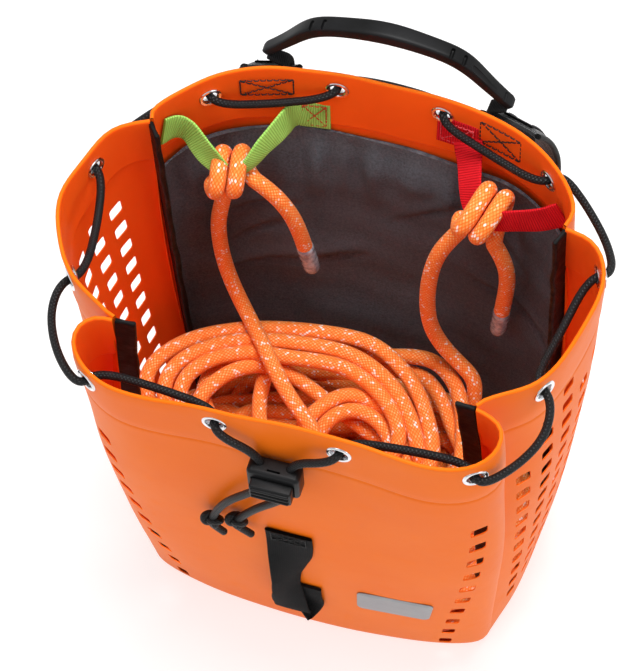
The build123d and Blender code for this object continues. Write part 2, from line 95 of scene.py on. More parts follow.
def spline(points, count):
    """Natural cubic through the points by chord length, as count points."""
    p = np.asarray(points, float)
    k = len(p)
    t = distances(p)
    h = np.diff(t)
    a = np.eye(k)
    b = np.zeros_like(p)
    for i in range(1, k - 1):
        a[i, i - 1:i + 2] = h[i - 1], 2 * (h[i - 1] + h[i]), h[i]
        b[i] = 6 * ((p[i + 1] - p[i]) / h[i] - (p[i] - p[i - 1]) / h[i - 1])
    m = np.linalg.solve(a, b)
    s = np.linspace(0, t[-1], count)
    i = np.clip(np.searchsorted(t, s, side="right") - 1, 0, k - 2)
    d = (s - t[i])[:, None]
    hi = h[i][:, None]
    e = hi - d
    return (m[i] * e**3 / (6 * hi) + m[i + 1] * d**3 / (6 * hi)
            + (p[i] / hi - m[i] * hi / 6) * e + (p[i + 1] / hi - m[i + 1] * hi / 6) * d)


def smoothstep(low, high, x):
    t = np.clip((np.asarray(x, float) - low) / (high - low), 0, 1)
    return t * t * (3 - 2 * t)


def make_object(name, points, faces, material, slot, body=BAG, replaces=(), uv=None, sharp=50):
    """A mesh object from points in millimetres; it rides on a body and may replace CAD nodes."""
    mesh = bpy.data.meshes.new(name)
    mesh.from_pydata((np.asarray(points, float) * MM).tolist(), [], [tuple(f) for f in faces])
    if uv is not None:
        corners = np.empty(len(mesh.loops), np.int32)
        mesh.loops.foreach_get("vertex_index", corners)
        layer = mesh.uv_layers.new(name="UVMap")
        values = uv if len(uv) == len(corners) else np.asarray(uv)[corners]
        layer.data.foreach_set("uv", np.asarray(values, np.float32).ravel())
    mesh.polygons.foreach_set("use_smooth", np.ones(len(mesh.polygons), bool))
    mesh.set_sharp_from_angle(angle=radians(sharp))
    mesh.materials.append(material)
    obj = bpy.data.objects.new(name, mesh)
    bpy.context.collection.objects.link(obj)
    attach(obj, body)
    if replaces:
        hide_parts(*replaces)
    return obj


def joined(parts):
    """One (points, faces, uv) from several."""
    points, faces, uvs, base = [], [], [], 0
    for p, f, uv in parts:
        points.append(np.asarray(p, float))
        faces += [tuple(i + base for i in face) for face in f]
        uvs.append(np.asarray(uv, float))
        base += len(p)
    return np.concatenate(points), faces, np.concatenate(uvs)


def lofted(rings, caps=True):
    """Skin a stack of rings. The corner UVs are distances: along in u, around in v."""
    rings = np.asarray(rings, float)
    m, k, _ = rings.shape
    points = rings.reshape(-1, 3)
    along = distances(rings.mean(1))
    loop = np.concatenate([rings[m // 2], rings[m // 2][:1]])
    around = distances(loop)
    faces, uv = [], []
    for i in range(m - 1):
        for j in range(k):
            jn = (j + 1) % k
            faces.append((i * k + j, i * k + jn, (i + 1) * k + jn, (i + 1) * k + j))
            uv += [(along[i], around[j]), (along[i], around[j + 1]),
                   (along[i + 1], around[j + 1]), (along[i + 1], around[j])]
    if caps:
        for row, order in ((0, -1), (m - 1, 1)):
            faces.append(tuple((row * k + np.arange(k))[::order].tolist()))
            uv += [(along[row], v) for v in around[:k][::order]]
    return points, faces, np.array(uv)


def frames_along(path):
    """Sides and ups carried along a path without twisting."""
    path = np.asarray(path, float)
    tangents = unit(np.gradient(path, axis=0))
    up = np.array([0, 0, 1.0])
    if abs(up @ tangents[0]) > 0.95:
        up = np.array([1.0, 0, 0])
    sides, ups = [], []
    for t in tangents:
        up = unit(up - (up @ t) * t)
        ups.append(up)
        sides.append(np.cross(t, up))
    return np.array(sides), np.array(ups)


def tube_rings(path, radius, sides):
    """Rings of a round tube; radius is one number or one for each point."""
    path = np.asarray(path, float)
    side, up = frames_along(path)
    angle = np.linspace(0, 2 * pi, sides, endpoint=False)
    radius = np.broadcast_to(np.asarray(radius, float), (len(path),))[:, None, None]
    return path[:, None] + radius * (side[:, None] * np.cos(angle)[None, :, None]
                                     + up[:, None] * np.sin(angle)[None, :, None])


def resampled(path, step):
    path = np.asarray(path, float)
    t = distances(path)
    count = max(int(t[-1] / step), 4) + 1
    s = np.linspace(0, t[-1], count)
    return np.stack([np.interp(s, t, path[:, i]) for i in range(3)], 1)


def round_tube(path, radius, sides, dome=True):
    """A tube with domed ends: UVs are millimetres along in u, turns around in v."""
    path = np.asarray(path, float)
    t = unit(np.gradient(path, axis=0))
    radii = np.broadcast_to(np.asarray(radius, float), (len(path),)).copy()
    if dome:
        tilt = np.radians([78, 52, 26])
        start = path[0] - t[0] * radii[0] * 0.7 * np.sin(tilt)[:, None]
        end = path[-1] + t[-1] * radii[-1] * 0.7 * np.sin(tilt[::-1])[:, None]
        radii = np.concatenate([radii[0] * np.cos(tilt), radii, radii[-1] * np.cos(tilt[::-1])])
        path = np.concatenate([start, path, end])
    rings = tube_rings(path, radii, sides)
    points, faces, uv = lofted(rings)
    uv[:, 1] /= 2 * pi * radii.max() * sin(pi / sides) * sides / pi
    return points, faces, uv


def section(width, thickness, across=8):
    """Flat strip section with rounded edges, as (across, through) pairs, anticlockwise."""
    r = thickness / 2
    xs = np.linspace(-width / 2 + r, width / 2 - r, across)
    turn = np.radians([-60, -30, 0, 30, 60])
    right = [(width / 2 - r + r * cos(a), r * sin(a)) for a in turn]
    left = [(-width / 2 + r - r * cos(a), -r * sin(a)) for a in turn]
    return np.array([(x, -r) for x in xs] + right + [(x, r) for x in xs[::-1]] + left)


def ribbon(points, across, width, thickness, step=2.0, columns=8, lift=None):
    """A strip along a smooth line through points, its width lying along the across directions.
    lift(share, across position) may raise the middle of the strip."""
    points = np.asarray(points, float)
    count = max(int(path_length(points) / step), 6)
    line = spline(points, count)
    if np.ndim(across) == 1:
        across = np.tile(np.asarray(across, float), (len(points), 1))
    chord = distances(points)
    s = np.linspace(0, chord[-1], count)
    wide = np.stack([np.interp(s, chord, np.asarray(across, float)[:, i]) for i in range(3)], 1)
    tangent = unit(np.gradient(line, axis=0))
    wide = unit(wide - (wide * tangent).sum(1, keepdims=True) * tangent)
    through = np.cross(tangent, wide)
    widths = np.interp(s, chord, np.broadcast_to(width, (len(points),)))
    rings = []
    for i in range(count):
        sec = section(widths[i], thickness, columns)
        rise = sec[:, 1]
        if lift is not None:
            rise = rise + lift(i / (count - 1), sec[:, 0] / widths[i])
        rings.append(line[i] + sec[:, :1] * wide[i] + rise[:, None] * through[i])
    return lofted(rings)


LATHE_SIDES = 40


def lathed(profile, centre, axis):
    """Turn a closed profile of (radius, along) pairs about an axis."""
    axis = unit(axis)
    side = unit(np.cross(axis, (0, 0, 1)) if abs(axis[2]) < 0.9 else np.cross(axis, (1, 0, 0)))
    up = np.cross(axis, side)
    rings = []
    for a in np.linspace(0, 2 * pi, LATHE_SIDES + 1):
        out = side * cos(a) + up * sin(a)
        rings.append([np.asarray(centre) + out * r + axis * h for r, h in profile])
    return lofted(rings, caps=False)


def rounded_box(size, radius, centre=(0, 0, 0), steps=3):
    """A box with rounded edges, as a stack of rounded rectangles along z."""
    x, y, z = np.asarray(size, float) / 2
    corners = []
    for cx, cy, start in ((1, 1, 0), (-1, 1, 90), (-1, -1, 180), (1, -1, 270)):
        for a in np.linspace(start, start + 90, steps + 1):
            corners.append((cx, cy, cos(radians(a)), sin(radians(a))))
    corners = np.array(corners)
    tilts = np.radians(np.linspace(0, 90, steps + 1))
    layers = [(-z + radius - radius * cos(t), sin(t)) for t in tilts]
    layers += [(z - radius + radius * cos(t), sin(t)) for t in tilts[::-1]]
    rings = []
    for height, grow in layers:
        inner = np.stack([corners[:, 0] * (x - radius), corners[:, 1] * (y - radius)], 1)
        ring = inner + corners[:, 2:] * radius * grow
        rings.append(np.concatenate([ring, np.full((len(ring), 1), height)], 1) + centre)
    return lofted(rings)


# ---------------------------------------------------------------- materials
class Shader:
    """A Principled material under construction, with short calls for its nodes."""

    def __init__(self, name, roughness, **sockets):
        self.material = bpy.data.materials.new(name)
        self.material.use_nodes = True
        self.tree = self.material.node_tree
        self.surface = self.tree.nodes["Principled BSDF"]
        self.surface.inputs["Roughness"].default_value = roughness
        for key, value in sockets.items():
            self.surface.inputs[key.replace("_", " ")].default_value = value

    def node(self, kind, *wires, **settings):
        """A node; wires fill its inputs in order with outputs, numbers or None."""
        made = self.tree.nodes.new("ShaderNode" + kind)
        for key, value in settings.items():
            setattr(made, key, value)
        for socket, wire in zip(made.inputs, wires):
            self.put(socket, wire)
        return made

    def put(self, socket, wire):
        if wire is None:
            return
        if isinstance(wire, bpy.types.NodeSocket):
            self.tree.links.new(wire, socket)
        else:
            socket.default_value = wire

    def math(self, operation, a, b=0.0):
        return self.node("Math", a, b, operation=operation).outputs[0]

    def times(self, a, b):
        return self.math("MULTIPLY", a, b)

    def ridges(self, distance, spacing):
        """Rounded ridges from 0 to 1, one to each spacing."""
        return self.math("ABSOLUTE", self.math("SINE", self.times(distance, pi / spacing)))

    def mix(self, share, a, b):
        made = self.node("Mix", data_type="RGBA")
        for index, wire in ((0, share), (6, a), (7, b)):
            self.put(made.inputs[index], wire)
        return made.outputs[2]

    def fade(self, value, low, high, to_low=0.0, to_high=1.0):
        return self.node("MapRange", value, low, high, to_low, to_high).outputs[0]

    def noise(self, vector, scale, detail=2.0, rough=0.5):
        made = self.node("TexNoise", vector)
        made.inputs["Scale"].default_value = scale
        made.inputs["Detail"].default_value = detail
        made.inputs["Roughness"].default_value = rough
        return made.outputs["Fac"]

    def place(self):
        return self.node("TexCoord").outputs["Object"]

    def uv(self):
        split = self.node("SeparateXYZ", self.node("TexCoord").outputs["UV"])
        return split.outputs[0], split.outputs[1]

    def bump(self, height, strength, distance, after=None):
        made = self.node("Bump", strength, distance)
        self.put(made.inputs["Height"], height)
        self.put(made.inputs["Normal"], after)
        return made.outputs[0]

    def finish(self, colour=None, normal=None, rough=None):
        self.put(self.surface.inputs["Base Color"], colour)
        self.put(self.surface.inputs["Normal"], normal)
        self.put(self.surface.inputs["Roughness"], rough)
        return self.material


def tarpaulin(name, base, worn, bounce_lit_inside):
    """Coated fabric: satin skin over a faint weave, a little scuffed, with painted bounce light on its
    inside face.
    """
    s = Shader(name, 0.42, Specular_IOR_Level=0.06)
    here = s.place()
    weave = s.math("SINE", s.times(s.node("SeparateXYZ", here).outputs[2], 5200.0))
    broad = s.noise(here, 14.0, 3.0)
    grain = s.noise(here, 900.0, 2.0)
    scuff = s.fade(s.noise(here, 60.0, 6.0, 0.7), 0.55, 0.8)
    colour = s.mix(s.fade(broad, 0.3, 0.7), base, worn)
    colour = s.mix(s.times(scuff, 0.12), colour, (*[min(1, c * 1.3 + 0.03) for c in base[:3]], 1))
    # The inside face, marked on the mesh, is a deeper red: painted bounce light from the orange walls.
    inside = s.node("Attribute", attribute_name="inside").outputs["Fac"]
    colour = s.mix(inside, colour, bounce_lit_inside)
    height = s.math("ADD", s.times(grain, 0.6), s.times(weave, 0.08))
    normal = s.bump(height, 0.14, 0.0004, s.bump(broad, 0.25, 0.004))
    rough = s.fade(scuff, 0.0, 1.0, 0.40, 0.52)
    return s.finish(colour, normal, rough)


def webbing(name, dark, light, rib=1.25):
    """Woven webbing: ribs across the strip, split by fine warp lines. UVs are millimetres."""
    s = Shader(name, 0.75, Specular_IOR_Level=0.06, Sheen_Weight=0.01, Sheen_Roughness=0.4)
    u, v = s.uv()
    ribs = s.ridges(u, rib)
    warp = s.ridges(v, 0.9)
    weave = s.times(s.math("POWER", ribs, 0.6), s.fade(warp, 0.0, 0.6, 0.45, 1.0))
    patchy = s.noise(s.place(), 90.0, 3.0)
    colour = s.mix(s.times(weave, s.fade(patchy, 0.25, 0.75, 0.75, 1.0)), dark, light)
    return s.finish(colour, s.bump(weave, 0.8, 0.0005), s.fade(weave, 0.0, 1.0, 0.85, 0.62))


def braid(s, u, v, pitch, turns):
    """Height of a braided sheath and the two cell numbers. u is millimetres, v is turns."""
    along = s.times(u, 1.0 / pitch)
    around = s.times(v, float(turns))
    a = s.math("ADD", along, around)
    b = s.math("SUBTRACT", along, around)
    wave_a = s.math("SINE", s.times(a, pi))
    wave_b = s.math("SINE", s.times(b, pi))
    over = s.math("GREATER_THAN", s.times(wave_a, wave_b), 0.0)
    tall_a = s.math("ABSOLUTE", wave_a)
    tall_b = s.math("ABSOLUTE", wave_b)
    first = s.times(s.math("POWER", tall_a, 0.85), s.math("POWER", tall_b, 0.4))
    second = s.times(s.math("POWER", tall_b, 0.85), s.math("POWER", tall_a, 0.4))
    both = s.node("Mix", data_type="FLOAT")
    for index, wire in ((0, over), (2, second), (3, first)):
        s.put(both.inputs[index], wire)
    cell = s.node("CombineXYZ", s.math("FLOOR", a), s.math("FLOOR", b), over)
    return both.outputs[0], cell.outputs[0]


def rope_material():
    """Floating rope: orange braided sheath with pale tracer flecks, painted shade in its grooves and painted
    highlights on its crests.
    """
    s = Shader("orange_rope", 0.6, Specular_IOR_Level=0.2, Sheen_Weight=0.05, Sheen_Roughness=0.5)
    u, v = s.uv()
    height, cell = braid(s, u, v, 2.9, 14)
    dice = s.node("TexWhiteNoise", cell, noise_dimensions="3D").outputs["Value"]
    band = s.noise(s.node("CombineXYZ", s.times(u, 0.055), v).outputs[0], 3.0, 1.0)
    fleck = s.times(s.math("GREATER_THAN", dice, 0.74), s.fade(band, 0.50, 0.60))
    fleck = s.times(fleck, s.fade(height, 0.25, 0.6))
    # deep is painted shade in the braid's grooves, mixed in by height; top is the strands' own orange.
    deep = (0.96, 0.12, 0.010, 1)
    top = (1.0, 0.25, 0.032, 1)
    # pale is a painted highlight, laid on the braid's crests through glint.
    pale = (1.0, 0.64, 0.27, 1)
    colour = s.mix(s.fade(height, 0.0, 0.4), deep, top)
    glint = s.times(s.fade(height, 0.55, 1.0), s.fade(dice, 0.1, 0.9, 0.12, 0.9))
    colour = s.mix(glint, colour, pale)
    colour = s.mix(fleck, colour, (1.0, 0.90, 0.80, 1))
    return s.finish(colour, s.bump(height, 0.4, 0.0006), 0.6)


def cord_material():
    """Black accessory cord: fine glossy braid with a slight lengthwise rib."""
    s = Shader("black_cord", 0.45, Specular_IOR_Level=0.2)
    u, v = s.uv()
    height, cell = braid(s, u, v, 2.2, 8)
    dice = s.node("TexWhiteNoise", cell, noise_dimensions="3D").outputs["Value"]
    colour = s.mix(s.fade(height, 0.2, 0.9), (0.002, 0.002, 0.002, 1), (0.012, 0.012, 0.013, 1))
    colour = s.mix(s.times(dice, 0.2), colour, (0.025, 0.025, 0.027, 1))
    return s.finish(colour, s.bump(height, 0.7, 0.0004), 0.42)


def lining_material():
    """Dark oxford cloth: plain weave in fine lines, lighter along its sewn top edge."""
    s = Shader("grey_lining", 0.8, Specular_IOR_Level=0.05, Sheen_Weight=0.03, Sheen_Roughness=0.5)
    u, v = s.uv()
    weft = s.ridges(v, 0.75)
    warp = s.ridges(u, 0.75)
    weave = s.times(s.fade(weft, 0, 1, 0.35, 1.0), s.fade(warp, 0, 1, 0.5, 1.0))
    hem = s.times(s.fade(v, 284.0, 302.0), s.fade(s.noise(s.place(), 40.0, 3.0), 0.3, 0.7, 0.4, 1.0))
    patchy = s.noise(s.place(), 26.0, 4.0)
    fuzz = s.noise(s.place(), 700.0, 3.0, 0.7)
    weave = s.times(weave, s.fade(fuzz, 0.32, 0.68, 0.35, 1.0))
    streak = s.noise(s.node("CombineXYZ", s.times(u, 0.02), s.times(v, 0.9)).outputs[0], 1.0)
    colour = s.mix(weave, (0.024, 0.028, 0.034, 1), (0.160, 0.184, 0.210, 1))
    colour = s.mix(s.fade(patchy, 0.35, 0.8, 0.0, 0.35), colour, (0.115, 0.128, 0.145, 1))
    colour = s.mix(s.fade(streak, 0.45, 0.8, 0.0, 0.3), colour, (0.05, 0.045, 0.046, 1))
    colour = s.mix(s.times(hem, s.fade(weave, 0.2, 1.0, 0.05, 0.5)), colour, (0.26, 0.28, 0.31, 1))
    return s.finish(colour, s.bump(weave, 0.7, 0.0005, s.bump(patchy, 0.5, 0.004)), 0.75)


def binding_material():
    """Folded binding tape: satin black with a close rib and rubbed high spots."""
    s = Shader("black_binding", 0.5, Specular_IOR_Level=0.12)
    u, _ = s.uv()
    ribs = s.math("SINE", s.times(u, 2 * pi / 0.8))
    uneven = s.noise(s.place(), 120.0, 4.0)
    colour = s.mix(s.fade(uneven, 0.35, 0.75), (0.003, 0.003, 0.003, 1), (0.010, 0.010, 0.010, 1))
    normal = s.bump(ribs, 0.15, 0.0002, s.bump(uneven, 0.5, 0.0012))
    return s.finish(colour, normal, s.fade(uneven, 0.3, 0.7, 0.38, 0.6))


def plastic_material():
    """Moulded nylon: fine spark-eroded texture, a little lighter and rougher in cloudy patches."""
    s = Shader("black_plastic", 0.42, Specular_IOR_Level=0.15)
    here = s.place()
    pits = s.noise(here, 1600.0, 2.0)
    cloud = s.noise(here, 45.0, 3.0)
    colour = s.mix(s.fade(cloud, 0.3, 0.7), (0.006, 0.006, 0.006, 1), (0.011, 0.011, 0.012, 1))
    return s.finish(colour, s.bump(pits, 0.18, 0.0002), s.fade(cloud, 0.3, 0.7, 0.36, 0.48))


def metal_material(name, colour, roughness):
    s = Shader(name, roughness, Metallic=1.0)
    here = s.place()
    stain = s.noise(here, 300.0, 4.0)
    shade = s.mix(s.fade(stain, 0.35, 0.75), colour, (*[c * 0.82 for c in colour[:3]], 1))
    scratch = s.noise(here, 1500.0, 3.0)
    return s.finish(shade, s.bump(scratch, 0.06, 0.0002), s.fade(stain, 0.3, 0.7, roughness * 0.8,
                                                                 roughness * 1.3))


def mesh_cloth_material():
    """Black spacer mesh of the padded straps: small open cells."""
    s = Shader("black_mesh_cloth", 0.8, Sheen_Weight=0.3, Sheen_Roughness=0.4)
    u, v = s.uv()
    cells = s.node("TexVoronoi", s.node("CombineXYZ", u, v).outputs[0], feature="DISTANCE_TO_EDGE")
    cells.inputs["Scale"].default_value = 0.5
    cells.inputs["Randomness"].default_value = 0.35
    wall = s.fade(cells.outputs["Distance"], 0.05, 0.22, 1.0, 0.0)
    colour = s.mix(wall, (0.003, 0.003, 0.003, 1), (0.035, 0.035, 0.038, 1))
    return s.finish(colour, s.bump(wall, 0.7, 0.0005), 0.8)


def reflective_material():
    """Retro-reflective film: grey with a faint pressed honeycomb and a few rubbed marks."""
    s = Shader("reflective_silver", 0.35, Metallic=0.35, Specular_IOR_Level=0.6)
    here = s.place()
    cells = s.node("TexVoronoi", here, feature="DISTANCE_TO_EDGE")
    cells.inputs["Scale"].default_value = 420.0
    wear = s.noise(here, 70.0, 5.0, 0.65)
    colour = s.mix(s.fade(wear, 0.35, 0.75), (0.22, 0.23, 0.25, 1), (0.32, 0.33, 0.34, 1))
    return s.finish(colour, s.bump(cells.outputs["Distance"], 0.2, 0.0003),
                    s.fade(wear, 0.3, 0.7, 0.28, 0.42))


def sleeve_material():
    """Clear shrink sleeve, slightly milky and creased."""
    s = Shader("clear_sleeve", 0.18, IOR=1.4, Coat_Weight=0.6, Coat_Roughness=0.1)
    here = s.place()
    cloud = s.noise(here, 260.0, 4.0, 0.6)
    crease = s.noise(here, 700.0, 3.0)
    colour = s.mix(s.fade(cloud, 0.35, 0.7), (0.20, 0.24, 0.28, 1), (0.50, 0.56, 0.62, 1))
    return s.finish(colour, s.bump(crease, 0.4, 0.0006), 0.2)


def thread_material(name, colour):
    s = Shader(name, 0.65, Specular_IOR_Level=0.3)
    twist = s.noise(s.place(), 2200.0, 1.0)
    shade = s.mix(twist, (*[c * 0.5 for c in colour[:3]], 1), colour)
    return s.finish(shade, s.bump(twist, 0.5, 0.0003), 0.65)


def floor_material():
    s = Shader("studio_floor", 0.6, Specular_IOR_Level=0.2)
    cloud = s.noise(s.place(), 2.0, 2.0)
    s.surface.inputs["Emission Color"].default_value = (1, 1, 1, 1)
    s.surface.inputs["Emission Strength"].default_value = 0.62
    return s.finish(s.mix(cloud, (0.50, 0.50, 0.50, 1), (0.52, 0.52, 0.52, 1)), None, 0.8)


# The third colour is the inside face's painted bounce-light red.
ORANGE = tarpaulin("orange_tarpaulin", (0.86, 0.150, 0.004, 1), (0.90, 0.176, 0.008, 1),
                   (1.0, 0.122, 0.010, 1))
ROPE_LOOK = rope_material()
CORD_LOOK = cord_material()
LINING = lining_material()
BINDING = binding_material()
PLASTIC = plastic_material()
EYELET_METAL = metal_material("eyelet_metal", (0.80, 0.80, 0.82, 1), 0.18)
SPRING = metal_material("spring_steel", (0.62, 0.62, 0.64, 1), 0.3)
BLACK_WEB = webbing("black_webbing", (0.002, 0.002, 0.002, 1), (0.016, 0.016, 0.017, 1))
GREEN_WEB = webbing("green_webbing", (0.20, 0.46, 0.05, 1), (0.50, 0.95, 0.22, 1), rib=1.5)
RED_WEB = webbing("red_webbing", (0.42, 0.004, 0.008, 1), (0.88, 0.018, 0.03, 1), rib=1.5)
REFLECTIVE = reflective_material()
SLEEVE = sleeve_material()
BLACK_THREAD = thread_material("black_thread", (0.02, 0.02, 0.02, 1))
RED_THREAD = thread_material("red_thread", (0.75, 0.06, 0.02, 1))
PINK_THREAD = thread_material("pink_thread", (0.95, 0.10, 0.12, 1))
GREY_THREAD = thread_material("grey_thread", (0.10, 0.10, 0.105, 1))
MESH_CLOTH = mesh_cloth_material()
FLOOR = floor_material()


# ---------------------------------------------------------------- camera, lights and floor
def set_camera():
    """Looks down into the mouth from the front, a little from the right."""
    azimuth, elevation, roll = radians(19.866), radians(60.395), radians(-3.767)
    target = Vector((-12.442, 4.218, 237.443)) * MM
    distance = 1572.486 * MM
    back = Vector((sin(azimuth) * cos(elevation), -cos(azimuth) * cos(elevation), sin(elevation)))
    right = Vector((cos(azimuth), sin(azimuth), 0))
    up = back.cross(right)
    x_axis = right * cos(roll) + up * sin(roll)
    y_axis = up * cos(roll) - right * sin(roll)
    camera = bpy.data.cameras.new("camera")
    camera.sensor_width = 36.0
    camera.lens = 138.28
    camera.clip_end = 20.0
    obj = bpy.data.objects.new("camera", camera)
    bpy.context.collection.objects.link(obj)
    turn = Matrix((x_axis, y_axis, back)).transposed()
    obj.matrix_world = Matrix.Translation(target + back * distance) @ turn.to_4x4()
    bpy.context.scene.camera = obj


def soft_light(name, place, aim, size, watts):
    light = bpy.data.lights.new(name, "AREA")
    light.shape = "DISK"
    light.size = size
    light.energy = watts
    obj = bpy.data.objects.new(name, light)
    bpy.context.collection.objects.link(obj)
    obj.location = place
    obj.rotation_euler = (Vector(aim) - Vector(place)).to_track_quat("-Z", "Y").to_euler()


def set_stage():
    world = bpy.data.worlds.new("studio")
    bpy.context.scene.world = world
    world.use_nodes = True
    # White near the horizon and dimmer overhead.
    tree = world.node_tree
    split = tree.nodes.new("ShaderNodeSeparateXYZ")
    fade = tree.nodes.new("ShaderNodeMapRange")
    tree.links.new(tree.nodes.new("ShaderNodeTexCoord").outputs["Generated"], split.inputs[0])
    tree.links.new(split.outputs[2], fade.inputs[0])
    for index, value in ((1, 0.15), (2, 0.6), (3, 0.68), (4, 0.5)):
        fade.inputs[index].default_value = value
    tree.links.new(fade.outputs[0], tree.nodes["Background"].inputs[1])
    tree.nodes["Background"].inputs[0].default_value = (1, 1, 1, 1)
    soft_light("key_light", (-0.5, -0.9, 1.6), (0, 0, 0.2), 1.0, 3.5)
    soft_light("top_light", (0.1, 0.15, 1.9), (0, 0, 0.25), 0.8, 27)
    soft_light("side_light", (1.3, -0.4, 0.9), (0, 0, 0.2), 0.8, 2.5)
    floor = bpy.data.meshes.new("studio_floor")
    floor.from_pydata([(-6, -6, -0.0005), (6, -6, -0.0005), (6, 6, -0.0005), (-6, 6, -0.0005)], [],
                      [(0, 1, 2, 3)])
    floor.materials.append(FLOOR)
    obj = bpy.data.objects.new("studio_floor", floor)
    bpy.context.collection.objects.link(obj)
    bpy.context.scene.view_settings.view_transform = "Standard"


# ---------------------------------------------------------------- wall outlines
RIM_LEVEL = 350.0
WALL = 2.0
WALL_BELLY = 6.0
RIM_PROFILE = ((-130, 339), (-114, 340.5), (-103, 347), (-92, 350.5), (-50, 351),
               (20, 351), (40, 354), (56, 358), (80, 359), (130, 359.5))
FRONT_SEAM = ((106, -77.5), (117.5, -59))
FRONT_RIM = ((0, -113.5), (55, -114.5), (94, -116), (114, -109),
             (124.5, -97), (123.5, -86), (116, -79.5))
FRONT_BASE = ((0, -84), (50, -82), (85, -77), (104, -72),
              (112, -68), (115, -65), (116.5, -62))
BACK_SEAM_RIGHT = ((125.5, 46.5), (124, 58))
BACK_SEAM_LEFT = ((-127, 53), (-124, 58))
BACK_RIM = ((128, 56), (125, 65), (112, 81), (85, 100), (45, 110), (0, 113))
BACK_BASE = ((122, 63), (118, 68), (106, 75), (80, 80), (42, 82), (0, 83))
SIDE_RIM_RIGHT = ((117, -68.5), (134, -54), (146, -28), (155, 5), (152, 30), (142, 42))
SIDE_RIM_LEFT = ((117, -71), (137, -57), (152, -38), (164, -5), (158, 22), (147, 42))
SIDE_BASE = ((120, -50), (124, -36), (128, -14), (130, 15), (128, 38), (126, 50))
SIDE_COLUMNS = ((0.17, 236), (0.30, 300), (0.43, 300), (0.56, 282), (0.68, 280), (0.80, 284))
HOLE_PITCH = 21.5
FRONT_COLUMN, FRONT_ROWS, FRONT_TOP_HOLE, FRONT_PITCH = 0.862, 10, 244.0, 25.0
HOLE_WIDTH, HOLE_HEIGHT, HOLE_LOWEST, HOLE_CORNER = 10.0, 11.0, 40.0, 2.0
BOTTOM_ROUND = 12.0
SAMPLES = 241


def mirrored(points):
    return [(-x, y) for x, y in reversed(points)]


def outlines():
    """Rim and base outline of each wall, anticlockwise seen from above."""
    seam_left = [(-x, y) for x, y in FRONT_SEAM]
    front_rim = mirrored(FRONT_RIM[1:]) + list(FRONT_RIM)
    front_base = mirrored(FRONT_BASE[1:]) + list(FRONT_BASE)
    back_rim = list(BACK_RIM) + mirrored(BACK_RIM[:-1])
    back_base = list(BACK_BASE) + mirrored(BACK_BASE[:-1])
    return {
        "front_panel": ([seam_left[0]] + front_rim + [FRONT_SEAM[0]],
                        [seam_left[1]] + front_base + [FRONT_SEAM[1]]),
        "right_side_panel": ([FRONT_SEAM[0]] + list(SIDE_RIM_RIGHT) + [BACK_SEAM_RIGHT[0]],
                             [FRONT_SEAM[1]] + list(SIDE_BASE) + [BACK_SEAM_RIGHT[1]]),
        "back_panel": ([BACK_SEAM_RIGHT[0]] + back_rim + [BACK_SEAM_LEFT[0]],
                       [BACK_SEAM_RIGHT[1]] + back_base + [BACK_SEAM_LEFT[1]]),
        "left_side_panel": ([BACK_SEAM_LEFT[0]] + mirrored(SIDE_RIM_LEFT) + [seam_left[0]],
                            [BACK_SEAM_LEFT[1]] + mirrored(SIDE_BASE) + [seam_left[1]]),
    }


def normals_of(line):
    """Unit normals on the right of the direction of travel, which is outwards."""
    line = np.asarray(line, float)
    ahead = np.concatenate([line[1:], line[-1:]])
    behind = np.concatenate([line[:1], line[:-1]])
    step = unit(ahead - behind)
    return np.stack([step[:, 1], -step[:, 0]], 1)


class Side:
    """One wall's outside surface, by share along its outline and height."""

    LEVEL_STEP = 10.0
    MIDDLE_LEVEL = 18
    levels = np.arange(0.0, 371.0, LEVEL_STEP)

    def __init__(self, name):
        rim, base = (np.array(run, float) for run in OUTLINES[name])
        lines, outward = [], []
        for level in self.levels:
            share = level / RIM_LEVEL
            points = base + (rim - base) * share
            points = points + normals_of(points) * WALL_BELLY * max(0.0, sin(pi * share))
            lines.append(spline(points, SAMPLES))
            outward.append(normals_of(lines[-1]))
        self.lines = np.array(lines)
        self.outward = np.array(outward)
        self.length = path_length(self.lines[self.MIDDLE_LEVEL])

    def look_up(self, table, share, level):
        a = np.clip(np.asarray(share, float), 0, 1) * (SAMPLES - 1)
        b = np.clip(np.asarray(level, float) / self.LEVEL_STEP, 0, len(self.levels) - 1)
        i = np.clip(a.astype(int), 0, SAMPLES - 2)
        j = np.clip(b.astype(int), 0, len(self.levels) - 2)
        f, g = (a - i)[:, None], (b - j)[:, None]
        return ((table[j, i] * (1 - f) + table[j, i + 1] * f) * (1 - g)
                + (table[j + 1, i] * (1 - f) + table[j + 1, i + 1] * f) * g)

    def at(self, share, level, out=0.0):
        """Points on the wall, moved outwards by out."""
        share, level, out = np.broadcast_arrays(np.atleast_1d(share), np.atleast_1d(level), out)
        share, level, out = (np.asarray(v, float) for v in (share, level, out))
        plan = self.look_up(self.lines, share, level)
        normal = unit(self.look_up(self.outward, share, level))
        drop = np.clip(BOTTOM_ROUND - level, 0, BOTTOM_ROUND)
        out = out - (BOTTOM_ROUND - np.sqrt(BOTTOM_ROUND**2 - drop**2))
        return np.concatenate([plan + normal * out[:, None], level[:, None]], 1)

    def frame(self, share, level, out=0.0):
        """One point on the wall, and its outward direction."""
        point = self.at(share, level, out)[0]
        normal = unit(self.look_up(self.outward, np.array([share]), np.array([level])))[0]
        return point, np.array([normal[0], normal[1], 0.0])


OUTLINES = outlines()
SIDES = {name: Side(name) for name in OUTLINES}
_rim_line = spline(RIM_PROFILE, 400)


def rim_height(y):
    return np.interp(y, _rim_line[:, 0], _rim_line[:, 1])


def rim_at(side, share):
    """Height of the rim over a place along a wall."""
    guess = side.at(share, np.full(np.shape(share), RIM_LEVEL))
    return rim_height(guess[:, 1])


# ---------------------------------------------------------------- walls
HEM_DEPTH = {"front_panel": 46.0, "right_side_panel": 42.0, "left_side_panel": 42.0, "back_panel": 46.0}
SKIN = 0.8
HEM = 2.5


